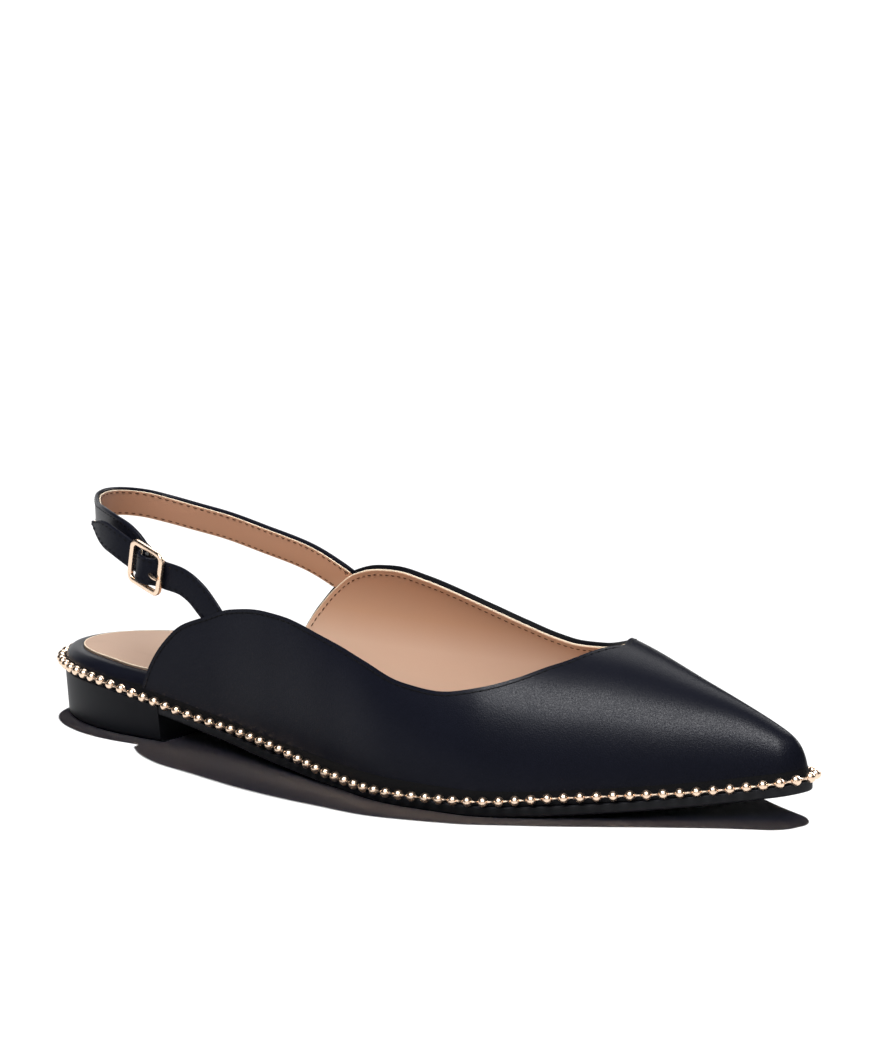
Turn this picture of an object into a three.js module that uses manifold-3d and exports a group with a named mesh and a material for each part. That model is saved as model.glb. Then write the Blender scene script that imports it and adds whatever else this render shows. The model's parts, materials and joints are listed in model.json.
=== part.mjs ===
// A woman's pointed slingback flat, right foot, built as its maker would:
// outsole and heel block, a wrapped footbed with its sock, the upper, a bead
// chain along the seam, and a heel strap closed by a buckle.
// Millimetres, +Z up, +X to the toe, -Y to the outer (lateral) side.
// The origin is on the floor, under the middle of the shoe's box.
import * as THREE from "three";
import { mergeVertices } from "three/addons/utils/BufferGeometryUtils.js";
import Module from "manifold-3d";

const wasm = await Module();
wasm.setup();

// Driving sizes of the shoe
const LENGTH = 266;
const BALL_WIDTH = 80;
const HEEL_LIFT = 11.2;
const TOE_SPRING = 8.2;
const VAMP_HEIGHT = 42.6;
const EAR_HEIGHT = 45.6;
const STRAP_HEIGHT = 63;
const CLEARANCE = 0.3;

// How far the straight line from heel to toe lies to the medial side of the
// middle of the shoe's box
const AXIS_OFFSET = 6.7;

// Outline rounding at the two ends of the seam
const HEEL_ROUND = 46;
const TOE_ROUND = 7;

// Outsole, heel block, footbed and sock
const SOLE_THICKNESS = 2.8;
const SOLE_WELT = -0.8;
const HEEL_WELT = -2.0;
const WELT_BLEND = { from: 0.21, to: 0.42 };
const SOLE_CHAMFER = 0.6;
const HEEL_BLOCK_LENGTH = 55.5;
const HEEL_BLOCK_SETBACK = 2.0;
const HEEL_BLOCK_TAPER = 0.5;
const FOOTBED_THICKNESS = 6.8;
const FOOTBED_RIM = 5.6;
const SOCK_RECESS = 0.7;
const SOCK_THICKNESS = 0.9;
const SOCK_BEVEL = { start: 0.7, inset: 0.4 };
const SOCK_REACH = 0.93;

// Upper
const UPPER_WALL = 1.8;
const THROAT_AT = 0.79;
const THROAT_BLEND = 0.04;
const TOE_LAG = 4.5;
const TOE_CLOSING = 0.05;
const HANDLE_INSET = 0.35;
const REAR_CORNER_HEIGHT = 1.6;

// Bead chain
const BEAD_DIAMETER = 3.2;
const BEAD_PITCH = 4.48;
const CHAIN_NECK = 1.0;
const BEAD_SHOULDER = { along: 0.55, radius: 0.9 };

// Heel strap and buckle strap
const STRAP_WIDTH = 8.4;
const STRAP_THICKNESS = 1.8;
const TAB_THICKNESS = 1.3;
const TAB_TIP_LENGTH = 12;
const TAB_HOLE = 1.9;
const TAB_HOLE_LENGTH = 3.6;
const TAB_HOLE_AT = 0.34;
const TIP_BLUNT = 0.16;
const LOOP_WIDTH = 54;
const EAR_STRAP = {
  lateral: { at: 0.309, inset: 2.2 },
  medial: { at: 0.318, inset: 1.6 },
};
const EAR_STRAP_FALL = 0.5;
const EAR_STRAP_DEPTH = 9;

// Buckle
const FRAME_LENGTH = 15.2;
const FRAME_HEIGHT = 13.4;
const FRAME_WIRE = 1.7;
const FRAME_DEPTH = 1.5;
const FRAME_CORNER = 2.8;
const FRAME_CORNER_INSIDE = 1.6;
const FRAME_BEVEL = 0.3;
const BAR_RADIUS = 0.5;
const BAR_SETBACK = 1.15;
const EYE_WALL = 0.75;
const EYE_NOTCH = { along: 2.6, outward: 2.3 };
const PRONG_RADIUS = 0.55;
const PRONG_ROOT = 0.2;
const PRONG_REST = 0.2;
const WEAVE_CLEARANCE = 0.45;
const PIN_INSET = 0.15;
const PIN_DROP = 0.8;
const SLING_RISE = 1.1;
const SLING_TUCK = 0.2;
const SLING_TWIST = 0.2;
const CUTTER_SKIN = 5;

// Seam outline: half widths to either side of the heel to toe line,
// as shares of BALL_WIDTH
const OUTLINE = [
  { at: 0.0, lateral: 0.35, medial: 0.35 },
  { at: 0.12, lateral: 0.352, medial: 0.352 },
  { at: 0.2, lateral: 0.358, medial: 0.352 },
  { at: 0.3, lateral: 0.376, medial: 0.343 },
  { at: 0.4, lateral: 0.436, medial: 0.335 },
  { at: 0.5, lateral: 0.52, medial: 0.355 },
  { at: 0.6, lateral: 0.59, medial: 0.403 },
  { at: 0.68, lateral: 0.577, medial: 0.424 },
  { at: 0.75, lateral: 0.498, medial: 0.396 },
  { at: 0.82, lateral: 0.382, medial: 0.32 },
  { at: 0.88, lateral: 0.273, medial: 0.232 },
  { at: 0.94, lateral: 0.165, medial: 0.138 },
  { at: 1.0, lateral: 0.075, medial: 0.065 },
];

// Underside of the outsole over the floor: shares of HEEL_LIFT behind the
// ball and of TOE_SPRING ahead of it
const UNDERSIDE = [
  { at: 0.0, heel: 1.0, toe: 0 },
  { at: 0.1, heel: 0.98, toe: 0 },
  { at: 0.2, heel: 0.77, toe: 0 },
  { at: 0.3, heel: 0.42, toe: 0 },
  { at: 0.4, heel: 0.155, toe: 0 },
  { at: 0.5, heel: 0.03, toe: 0 },
  { at: 0.56, heel: 0, toe: 0 },
  { at: 0.7, heel: 0, toe: 0 },
  { at: 0.8, heel: 0, toe: 0.18 },
  { at: 0.9, heel: 0, toe: 0.5 },
  { at: 1.0, heel: 0, toe: 1.0 },
];

// Footbed thickness, as shares of FOOTBED_THICKNESS, and how far its edge
// stands in behind the upper, from 0 at the bare heel to 1, more at the toe
const FOOTBED = [
  { at: 0.0, thick: 0.88, lateral: 0, medial: 0 },
  { at: 0.12, thick: 0.95, lateral: 0, medial: 0 },
  { at: 0.18, thick: 0.96, lateral: 1, medial: 0.4 },
  { at: 0.24, thick: 0.93, lateral: 1, medial: 1 },
  { at: 0.4, thick: 0.72, lateral: 1, medial: 1 },
  { at: 0.6, thick: 0.55, lateral: 1, medial: 1 },
  { at: 0.85, thick: 0.5, lateral: 1.1, medial: 1.1 },
  { at: 1.0, thick: 0.42, lateral: 1.4, medial: 1.4 },
];

// Section of the footbed from its lower edge up over the rim and down into
// the sock's recess. inward: share of FOOTBED_RIM. up: share of the
// thickness. sunk: share of SOCK_RECESS. reach: share of LENGTH at the toe.
const FOOTBED_SECTION = [
  { inward: 0, up: 0, sunk: 0, reach: 0.982 },
  { inward: 0, up: 0.5, sunk: 0, reach: 0.982 },
  { inward: 0.2, up: 0.83, sunk: 0, reach: 0.98 },
  { inward: 0.5, up: 1, sunk: 0, reach: 0.965 },
  { inward: 0.95, up: 1, sunk: 0.1, reach: 0.94 },
  { inward: 1, up: 1, sunk: 1, reach: 0.94 },
];

// Sections of the last over the seam. ridge: height of the crown, a share of
// VAMP_HEIGHT, above the quarters only the line that their walls lean to.
// rise and crown: the lengths of the section's upright and level handles, as
// shares of its height and half width. flare: outward lean of the wall, a
// share of BALL_WIDTH. off: the crown's offset to the medial side, likewise.
const SECTIONS = [
  { at: 0.18, ridge: 2.1, rise: 0.5, crown: 0.95, flare: 0.075, off: 0 },
  { at: 0.37, ridge: 2.1, rise: 0.5, crown: 0.95, flare: 0.075, off: 0 },
  { at: 0.52, ridge: 1.65, rise: 0.5, crown: 0.9, flare: 0.055, off: -0.01 },
  { at: 0.64, ridge: 1.25, rise: 0.5, crown: 0.8, flare: 0.035, off: -0.02 },
  { at: 0.72, ridge: 1.07, rise: 0.5, crown: 0.68, flare: 0.02, off: -0.025 },
  { at: 0.79, ridge: 0.96, rise: 0.5, crown: 0.58, flare: 0.01, off: -0.025 },
  { at: 0.86, ridge: 0.815, rise: 0.48, crown: 0.52, flare: 0.005, off: -0.015 },
  { at: 0.93, ridge: 0.661, rise: 0.46, crown: 0.52, flare: 0, off: -0.005 },
  { at: 0.98, ridge: 0.518, rise: 0.5, crown: 0.6, flare: 0, off: 0 },
  { at: 1.0, ridge: 0.452, rise: 0.5, crown: 0.6, flare: 0, off: 0 },
];

// Top line of the upper from its rear corner to the throat, as shares of
// EAR_HEIGHT over the floor
const TOPLINE_LATERAL = [
  { at: 0.188, up: 0.354 },
  { at: 0.206, up: 0.528 },
  { at: 0.226, up: 0.664 },
  { at: 0.256, up: 0.805 },
  { at: 0.292, up: 0.885 },
  { at: 0.336, up: 0.968 },
  { at: 0.387, up: 1.003 },
  { at: 0.42, up: 0.996 },
  { at: 0.486, up: 0.926 },
  { at: 0.553, up: 0.83 },
  { at: 0.606, up: 0.74 },
  { at: 0.65, up: 0.708 },
  { at: 0.69, up: 0.742 },
  { at: 0.716, up: 0.785 },
  { at: 0.745, up: 0.855 },
  { at: 0.79, up: 0.93 },
];
const TOPLINE_MEDIAL = [
  { at: 0.238, up: 0.3 },
  { at: 0.246, up: 0.48 },
  { at: 0.263, up: 0.64 },
  { at: 0.279, up: 0.745 },
  { at: 0.3, up: 0.862 },
  { at: 0.332, up: 0.985 },
  { at: 0.365, up: 1.036 },
  { at: 0.395, up: 1.047 },
  { at: 0.44, up: 1.009 },
  { at: 0.484, up: 0.948 },
  { at: 0.526, up: 0.878 },
  { at: 0.566, up: 0.805 },
  { at: 0.608, up: 0.74 },
  { at: 0.64, up: 0.716 },
  { at: 0.675, up: 0.731 },
  { at: 0.72, up: 0.8 },
  { at: 0.75, up: 0.868 },
  { at: 0.79, up: 0.93 },
];

// Middle of the heel strap from the medial ear, round the heel and up to the
// buckle. at: share of LENGTH from the heel. out: share of LOOP_WIDTH, medial
// positive. climb: from EAR_HEIGHT at 0 to STRAP_HEIGHT at 1.
const SLING_PATH = [
  { at: 0.27, out: 0.494, climb: 0.06 },
  { at: 0.2, out: 0.487, climb: 0.3 },
  { at: 0.155, out: 0.465, climb: 0.46 },
  { at: 0.115, out: 0.43, climb: 0.575 },
  { at: 0.083, out: 0.37, climb: 0.7 },
  { at: 0.063, out: 0.29, climb: 0.81 },
  { at: 0.05, out: 0.18, climb: 0.89 },
  { at: 0.047, out: 0.07, climb: 0.93 },
  { at: 0.053, out: -0.03, climb: 0.93 },
  { at: 0.067, out: -0.12, climb: 0.915 },
  { at: 0.088, out: -0.22, climb: 0.9 },
  { at: 0.116, out: -0.32, climb: 0.91 },
  { at: 0.147, out: -0.405, climb: 0.88 },
  { at: 0.178, out: -0.46, climb: 0.78 },
];

// Middle of the buckle strap from the lateral ear to the buckle, and from
// the buckle back to its tip
const TAB_FRONT = [
  { at: 0.286, out: -0.55, climb: 0.09 },
  { at: 0.267, out: -0.552, climb: 0.25 },
];
const TAB_REAR = [
  { at: 0.165, out: -0.503, climb: 0.71 },
  { at: 0.138, out: -0.462, climb: 0.825 },
  { at: 0.112, out: -0.4, climb: 0.92 },
];

// Buckle middle, the slope of its strap down to the front, and its turn to
// the heel's curve
const BUCKLE_PLACE = { at: 0.2165, out: -0.56, climb: 0.41 };
const BUCKLE_SLOPE = THREE.MathUtils.degToRad(14);
const BUCKLE_TURN = THREE.MathUtils.degToRad(11);

// Buckle strap under the end bars and over the middle bar. along: share of
// the way from the middle bar to the front bar. over: from 0, under the end
// bars, to 1, over the middle bar.
const TAB_WEAVE = [
  { along: 1, over: 0 },
  { along: 0.85, over: 0.01 },
  { along: 0.5, over: 0.5 },
  { along: 0.25, over: 0.99 },
  { along: -0.25, over: 0.99 },
  { along: -0.5, over: 0.5 },
  { along: -0.85, over: 0.01 },
  { along: -1, over: 0 },
];

// Sampling
const HEEL_STEPS = 9;
const MIDDLE_STEPS = 22;
const TOE_STEPS = 5;
const WALL_STEPS = 9;
const OPEN_STEPS = 26;
const VAMP_STEPS = 12;
const END_CROWDING = 0.6;
const TOE_CROWDING = 1.6;
const STRAP_STEPS = 50;
const TAB_STEPS = 60;
const BEAD_SIDES = 6;
const WIRE_SIDES = 10;
const EYE_SIDES = 16;
const CORNER_STEPS = 4;
const CHAIN_DIVISIONS = 1200;
const HALVINGS = 30;
const SLOPE_STEP = 0.005;
const WELD = 1e-4;
const SKYWARD = new THREE.Vector3(0, 0, 1);

const LATERAL = -1;
const MEDIAL = 1;
const sideName = (side) => (side === LATERAL ? "lateral" : "medial");

// Value of a table's column at a place, on a smooth curve that keeps level
// stretches level and never overshoots a row
function through(table, column, at) {
  const last = table.length - 1;
  const place = Math.min(Math.max(at, table[0].at), table[last].at);
  let row = 0;
  while (row < last - 1 && place > table[row + 1].at) row += 1;
  const slope = (i) => (table[i + 1][column] - table[i][column]) / (table[i + 1].at - table[i].at);
  const tangent = (i) => {
    if (i === 0) return slope(0);
    if (i === last) return slope(last - 1);
    const before = slope(i - 1);
    const after = slope(i);
    return before * after <= 0 ? 0 : (2 * before * after) / (before + after);
  };
  const span = table[row + 1].at - table[row].at;
  const u = (place - table[row].at) / span;
  const start = table[row][column];
  const end = table[row + 1][column];
  const smooth = u * u * (3 - 2 * u);
  return (
    start + (end - start) * smooth +
    span * (tangent(row) * u * (1 - u) * (1 - u) - tangent(row + 1) * u * u * (1 - u))
  );
}

// Height of the outsole's underside
const underside = (at) =>
  HEEL_LIFT * through(UNDERSIDE, "heel", at) + TOE_SPRING * through(UNDERSIDE, "toe", at);
const seat = (at) => underside(at) + SOLE_THICKNESS + CLEARANCE;
const shareAt = (x) => x / LENGTH + 0.5;

// Point of the outline at a share of its own length, moved out from the
// seam by a distance; reach shortens it at the toe
function outlinePoint(t, side, out, reach = 1) {
  const toeEnd = reach === 1 ? LENGTH + out : LENGTH * reach;
  const fromHeel = -out + t * (toeEnd + out);
  const at = fromHeel / LENGTH;
  const half = (place) => BALL_WIDTH * through(OUTLINE, sideName(side), place);
  const lean = (half(at + SLOPE_STEP) - half(at - SLOPE_STEP)) / (2 * SLOPE_STEP * LENGTH);
  const body = half(at) + out * Math.hypot(1, lean);
  const heelRound = (HEEL_ROUND + out) / (toeEnd + out);
  const toeRound = (reach === 1 ? TOE_ROUND + out : TOE_ROUND) / (toeEnd + out);
  const heelEnd = t < heelRound ? Math.sqrt(1 - (1 - t / heelRound) ** 2) : 1;
  const toeFall = 1 - t < toeRound ? Math.sqrt(1 - (1 - (1 - t) / toeRound) ** 2) : 1;
  return new THREE.Vector2(fromHeel - LENGTH / 2, side * body * heelEnd * toeFall);
}

// Shares at which an outline is sampled, close together round its ends
function stations(from = 0, to = 1) {
  const heelShare = HEEL_ROUND / LENGTH;
  const toeShare = (TOE_CROWDING * TOE_ROUND) / LENGTH;
  const shares = [];
  for (let i = 0; i < HEEL_STEPS; i += 1) {
    shares.push(heelShare * (1 - Math.cos((i / HEEL_STEPS) * (Math.PI / 2))));
  }
  for (let i = 0; i < MIDDLE_STEPS; i += 1) {
    shares.push(heelShare + (i / MIDDLE_STEPS) * (1 - toeShare - heelShare));
  }
  for (let i = 0; i <= TOE_STEPS; i += 1) {
    shares.push(1 - toeShare * (1 - Math.sin((i / TOE_STEPS) * (Math.PI / 2))));
  }
  return shares.filter((share) => share >= from && share <= to);
}

// Mesh builder that shares corners by their key
class Shell {
  constructor() {
    this.points = [];
    this.faces = [];
  }
  add(point) {
    this.points.push(point.x, point.y, point.z);
    return this.points.length / 3 - 1;
  }
  quad(a, b, c, d) {
    if (a !== b && b !== c && a !== c) this.faces.push(a, b, c);
    if (a !== c && c !== d && a !== d) this.faces.push(a, c, d);
  }
  geometry() {
    const geometry = new THREE.BufferGeometry();
    geometry.setAttribute("position", new THREE.Float32BufferAttribute(this.points, 3));
    geometry.setIndex(this.faces);
    geometry.computeVertexNormals();
    return geometry;
  }
}

// Closed slab inside the outline. Each ring is { out(at, side), height(at),
// reach }, from the lowest outside ring up and in; first and last are closed
// across. flatFront ends it at the last share with a flat face.
function slab(rings, { shares = stations(), flatFront = false } = {}) {
  const shell = new Shell();
  const last = shares.length - 1;
  const loops = rings.map((ring) => {
    const place = (t, side) => {
      const guess = outlinePoint(t, side, 0, ring.reach);
      const flat = outlinePoint(t, side, ring.out(shareAt(guess.x), side), ring.reach);
      return shell.add(new THREE.Vector3(flat.x, flat.y, ring.height(shareAt(flat.x))));
    };
    const lateral = shares.map((t) => place(t, LATERAL));
    const medial = shares.map((t, i) => {
      if (i === 0 || (i === last && !flatFront)) return lateral[i];
      return place(t, MEDIAL);
    });
    return { lateral, medial };
  });
  for (let k = 0; k + 1 < loops.length; k += 1) {
    const low = loops[k];
    const high = loops[k + 1];
    for (let i = 0; i < last; i += 1) {
      shell.quad(low.lateral[i], low.lateral[i + 1], high.lateral[i + 1], high.lateral[i]);
      shell.quad(low.medial[i + 1], low.medial[i], high.medial[i], high.medial[i + 1]);
    }
    if (flatFront) {
      shell.quad(low.lateral[last], low.medial[last], high.medial[last], high.lateral[last]);
    }
  }
  const bottom = loops[0];
  const top = loops[loops.length - 1];
  for (let i = 0; i < last; i += 1) {
    shell.quad(bottom.lateral[i + 1], bottom.lateral[i], bottom.medial[i], bottom.medial[i + 1]);
    shell.quad(top.lateral[i], top.lateral[i + 1], top.medial[i + 1], top.medial[i]);
  }
  return shell.geometry();
}

const UPPER_OUT = -(BEAD_DIAMETER / 2 + CLEARANCE);
const chainHeight = (at) => seat(at) + BEAD_DIAMETER / 2;
const constant = (value) => () => value;

// How far the outsole's edge stands out from the seam, flush with the block
// at the heel
function welt(at) {
  const blend = THREE.MathUtils.smoothstep(at, WELT_BLEND.from, WELT_BLEND.to);
  return THREE.MathUtils.lerp(HEEL_WELT, SOLE_WELT, blend);
}

function outsole() {
  return slab([
    { out: (at) => welt(at) - SOLE_CHAMFER, height: underside },
    { out: welt, height: (at) => underside(at) + SOLE_CHAMFER },
    { out: welt, height: (at) => underside(at) + SOLE_THICKNESS },
  ]);
}

function heelBlock() {
  const top = -HEEL_BLOCK_SETBACK + HEEL_BLOCK_TAPER / 2;
  const foot = -HEEL_BLOCK_SETBACK - HEEL_BLOCK_TAPER / 2;
  const breast = HEEL_BLOCK_LENGTH / LENGTH;
  const shares = stations(0, breast - CLEARANCE / LENGTH).concat(breast);
  return slab(
    [
      { out: constant(foot), height: constant(0) },
      { out: constant(top), height: (at) => underside(at) - CLEARANCE },
    ],
    { shares, flatFront: true },
  );
}

// The footbed's bare rim at the heel, and its edge inside the upper
const footbedEdge = (at, side) =>
  UPPER_OUT - CLEARANCE - (UPPER_WALL + CLEARANCE) * through(FOOTBED, sideName(side), at);
const footbedTop = (at) => seat(at) + FOOTBED_THICKNESS * through(FOOTBED, "thick", at);

function footbed() {
  const ring = (row) => ({
    out: (at, side) => footbedEdge(at, side) - row.inward * FOOTBED_RIM,
    height: (at) =>
      THREE.MathUtils.lerp(seat(at), footbedTop(at), row.up) - row.sunk * SOCK_RECESS,
    reach: row.reach,
  });
  return slab(FOOTBED_SECTION.map(ring));
}

function sock() {
  const edge = (at, side) => footbedEdge(at, side) - FOOTBED_RIM - CLEARANCE;
  const inner = (at, side) => edge(at, side) - SOCK_BEVEL.inset;
  const raised = (share) => (at) =>
    footbedTop(at) - SOCK_RECESS + CLEARANCE + share * SOCK_THICKNESS;
  return slab([
    { out: edge, height: raised(0), reach: SOCK_REACH },
    { out: edge, height: raised(SOCK_BEVEL.start), reach: SOCK_REACH },
    { out: inner, height: raised(1), reach: SOCK_REACH },
  ]);
}

// Section of the last at a share of the outline: a cubic curve from the seam
// (q = 0) up to the crown (q = 1). skin moves it in from the outside face.
function lastSection(t, side, skin) {
  const foot = outlinePoint(t, side, UPPER_OUT - skin);
  const footAt = shareAt(foot.x);
  const lag = TOE_LAG * THREE.MathUtils.smoothstep(t, THROAT_AT, 1);
  const crownX = foot.x - lag;
  const crownAt = shareAt(crownX);
  const closing = THREE.MathUtils.smoothstep(1 - t, 0, TOE_CLOSING);
  const crownHeight = (at) => VAMP_HEIGHT * through(SECTIONS, "ridge", at) - skin;
  const rise = crownHeight(crownAt + SLOPE_STEP) - crownHeight(crownAt - SLOPE_STEP);
  const fall = rise / (2 * SLOPE_STEP * LENGTH);
  const low = seat(footAt);
  const high = crownHeight(crownAt);
  const crownY = BALL_WIDTH * through(SECTIONS, "off", crownAt) * closing;
  const lean = BALL_WIDTH * through(SECTIONS, "flare", footAt);
  const upright = low + (high - low) * through(SECTIONS, "rise", footAt) - HANDLE_INSET * skin;
  const reach = through(SECTIONS, "crown", crownAt);
  return new THREE.CubicBezierCurve3(
    new THREE.Vector3(foot.x, foot.y, low),
    new THREE.Vector3(foot.x, foot.y + side * lean, upright),
    new THREE.Vector3(
      crownX + reach * lag,
      crownY + reach * (foot.y - crownY) - side * HANDLE_INSET * skin * closing,
      high + fall * reach * lag,
    ),
    new THREE.Vector3(crownX, crownY, high),
  );
}

// Where a section crosses a height
function shareAtHeight(section, height) {
  let low = 0;
  let high = 1;
  for (let i = 0; i < HALVINGS; i += 1) {
    const middle = (low + high) / 2;
    if (section.getPoint(middle).z < height) low = middle;
    else high = middle;
  }
  return (low + high) / 2;
}

const toplines = { lateral: TOPLINE_LATERAL, medial: TOPLINE_MEDIAL };
const rearShare = (side) => toplines[sideName(side)][0].at;

// Height of the top line, which runs into the crown at the throat
function toplineHeight(at, side) {
  const height = EAR_HEIGHT * through(toplines[sideName(side)], "up", at);
  const throat = lastSection(at, side, 0).getPoint(1).z;
  const blend = THREE.MathUtils.smoothstep(at, THROAT_AT - THROAT_BLEND, THROAT_AT);
  const joined = THREE.MathUtils.lerp(height, throat, blend);
  return Math.max(joined, seat(at) + REAR_CORNER_HEIGHT);
}

// Rows of one side of the upper, from its rear corner to the toe
function upperRows(side, skin, lift) {
  const rear = rearShare(side);
  const open = [];
  for (let i = 0; i < OPEN_STEPS; i += 1) {
    const turn = 0.5 - 0.5 * Math.cos((i / OPEN_STEPS) * Math.PI);
    open.push(rear + (THROAT_AT - rear) * THREE.MathUtils.lerp(i / OPEN_STEPS, turn, END_CROWDING));
  }
  const closed = [];
  for (let i = 0; i <= VAMP_STEPS; i += 1) {
    closed.push(THROAT_AT + (1 - THROAT_AT) * Math.sin((i / VAMP_STEPS) * (Math.PI / 2)));
  }
  return open.concat(closed).map((t) => {
    const section = lastSection(t, side, skin);
    const height = toplineHeight(t, side) + lift;
    const end = t < THROAT_AT ? shareAtHeight(lastSection(t, side, 0), height) : 1;
    const points = [];
    for (let k = 0; k <= WALL_STEPS; k += 1) points.push(section.getPoint((end * k) / WALL_STEPS));
    return points;
  });
}

// Upper wall between two skins. The two sides share the crown from the
// throat on and the front of the toe.
function upperWall(outerSkin, innerSkin, lift = 0) {
  const shell = new Shell();
  const throatRow = OPEN_STEPS;
  const toeRow = OPEN_STEPS + VAMP_STEPS;
  const sheet = (skin) => {
    const rows = (side) => upperRows(side, skin, lift);
    const lateral = rows(LATERAL).map((row) => row.map((point) => shell.add(point)));
    const shared = (i, k) => i === toeRow || (i >= throatRow && k === WALL_STEPS);
    const medial = rows(MEDIAL).map((row, i) =>
      row.map((point, k) => (shared(i, k) ? lateral[i][k] : shell.add(point))),
    );
    return { lateral, medial };
  };
  const outer = sheet(outerSkin);
  const inner = sheet(innerSkin);
  const skinFaces = (rows, flip) => {
    for (let i = 0; i < toeRow; i += 1) {
      for (let k = 0; k < WALL_STEPS; k += 1) {
        const corners = [rows[i][k], rows[i + 1][k], rows[i + 1][k + 1], rows[i][k + 1]];
        if (flip) corners.reverse();
        shell.quad(...corners);
      }
    }
  };
  skinFaces(outer.lateral, false);
  skinFaces(outer.medial, true);
  skinFaces(inner.lateral, true);
  skinFaces(inner.medial, false);
  const rim = (a, b, c, d, flip) => {
    const corners = [a, b, c, d];
    if (flip) corners.reverse();
    shell.quad(...corners);
  };
  for (const name of ["lateral", "medial"]) {
    const out = outer[name];
    const inn = inner[name];
    const flip = name === "medial";
    for (let i = 0; i < toeRow; i += 1) {
      rim(inn[i][0], inn[i + 1][0], out[i + 1][0], out[i][0], flip);
    }
    for (let i = 0; i < throatRow; i += 1) {
      const k = WALL_STEPS;
      rim(out[i][k], out[i + 1][k], inn[i + 1][k], inn[i][k], flip);
    }
    for (let k = 0; k < WALL_STEPS; k += 1) {
      rim(out[0][k], out[0][k + 1], inn[0][k + 1], inn[0][k], flip);
    }
  }
  return shell.geometry();
}

const upper = () => upperWall(0, UPPER_WALL);

// Middle of the upper's wall at a share of the length and a height
function wallMiddle(at, side, height) {
  const section = lastSection(at, side, UPPER_WALL / 2);
  return section.getPoint(shareAtHeight(section, height));
}

// A point of a strap's middle line
function strapPoint(row) {
  return new THREE.Vector3(
    (row.at - 0.5) * LENGTH,
    row.out * LOOP_WIDTH,
    THREE.MathUtils.lerp(EAR_HEIGHT, STRAP_HEIGHT, row.climb),
  );
}

// Strap middle inside an ear's wall: where it meets the top line, and a
// point further in that the ear's own shape cuts away
function earPoints(side) {
  const { at, inset } = EAR_STRAP[sideName(side)];
  const meet = toplineHeight(at, side) - inset;
  const inside = at + EAR_STRAP_DEPTH / LENGTH;
  return [
    wallMiddle(inside, side, meet - EAR_STRAP_FALL * EAR_STRAP_DEPTH),
    wallMiddle(at, side, meet),
  ];
}

// Ribbon of rectangular section along a path. upright gives the direction
// its wide side stands in at a share of the way. tip, where given, is the
// length over which its far end narrows to a point.
function ribbon(path, { width, thickness, steps, upright, tip = 0 }) {
  const shell = new Shell();
  const length = path.getLength();
  const rings = [];
  for (let i = 0; i <= steps; i += 1) {
    const share = i / steps;
    const point = path.getPointAt(share);
    const along = path.getTangentAt(share);
    const out = new THREE.Vector3().crossVectors(along, upright(share)).normalize();
    const up = new THREE.Vector3().crossVectors(out, along).normalize();
    const left = length * (1 - share);
    const narrow = left < tip ? 1 - (1 - left / tip) ** 2 : 1;
    const half = (width / 2) * Math.max(narrow, TIP_BLUNT);
    const corner = (a, b) => {
      const place = point.clone().addScaledVector(out, (a * thickness) / 2);
      return shell.add(place.addScaledVector(up, b * half));
    };
    rings.push([corner(-1, -1), corner(1, -1), corner(1, 1), corner(-1, 1)]);
  }
  for (let i = 0; i < steps; i += 1) {
    for (let k = 0; k < 4; k += 1) {
      const n = (k + 1) % 4;
      shell.quad(rings[i][n], rings[i][k], rings[i + 1][k], rings[i + 1][n]);
    }
  }
  shell.quad(...rings[0]);
  shell.quad(...rings[steps].reverse());
  return shell.geometry();
}

// Solids for cutting and joining
function solid(geometry) {
  const bare = geometry.clone();
  bare.deleteAttribute("normal");
  bare.deleteAttribute("uv");
  const merged = mergeVertices(bare, WELD);
  return new wasm.Manifold(
    new wasm.Mesh({
      numProp: 3,
      vertProperties: new Float32Array(merged.attributes.position.array),
      triVerts: new Uint32Array(merged.index.array),
    }),
  );
}

function fromSolid(body) {
  const mesh = body.getMesh();
  const shell = new Shell();
  shell.points = Array.from(mesh.vertProperties);
  shell.faces = Array.from(mesh.triVerts);
  return shell.geometry();
}

// The buckle's own axes: x along its strap to the front, y up across the
// strap, z outward
const bucklePlace = new THREE.Matrix4().compose(
  strapPoint(BUCKLE_PLACE),
  new THREE.Quaternion().setFromRotationMatrix(
    new THREE.Matrix4()
      .makeRotationZ(-BUCKLE_TURN)
      .multiply(new THREE.Matrix4().makeRotationX(Math.PI / 2))
      .multiply(new THREE.Matrix4().makeRotationZ(-BUCKLE_SLOPE)),
  ),
  new THREE.Vector3(1, 1, 1),
);
const onBuckle = (along, outward, up = 0) =>
  new THREE.Vector3(along, up, outward).applyMatrix4(bucklePlace);
const buckleUp = new THREE.Vector3().setFromMatrixColumn(bucklePlace, 1);

const EYE_OUTER = BAR_RADIUS + CLEARANCE + EYE_WALL;
const BAR_LEVEL = -BAR_SETBACK;
const END_BAR = FRAME_LENGTH / 2 - FRAME_WIRE / 2;
const TAB_UNDER = -FRAME_DEPTH / 2 - WEAVE_CLEARANCE - TAB_THICKNESS / 2;
const TAB_OVER = BAR_LEVEL + EYE_OUTER + WEAVE_CLEARANCE + TAB_THICKNESS / 2;
const SLING_LEVEL = TAB_UNDER - TAB_THICKNESS / 2 - CLEARANCE - STRAP_THICKNESS / 2;

const weaveLevel = (row) => THREE.MathUtils.lerp(TAB_UNDER, TAB_OVER, row.over);

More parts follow.
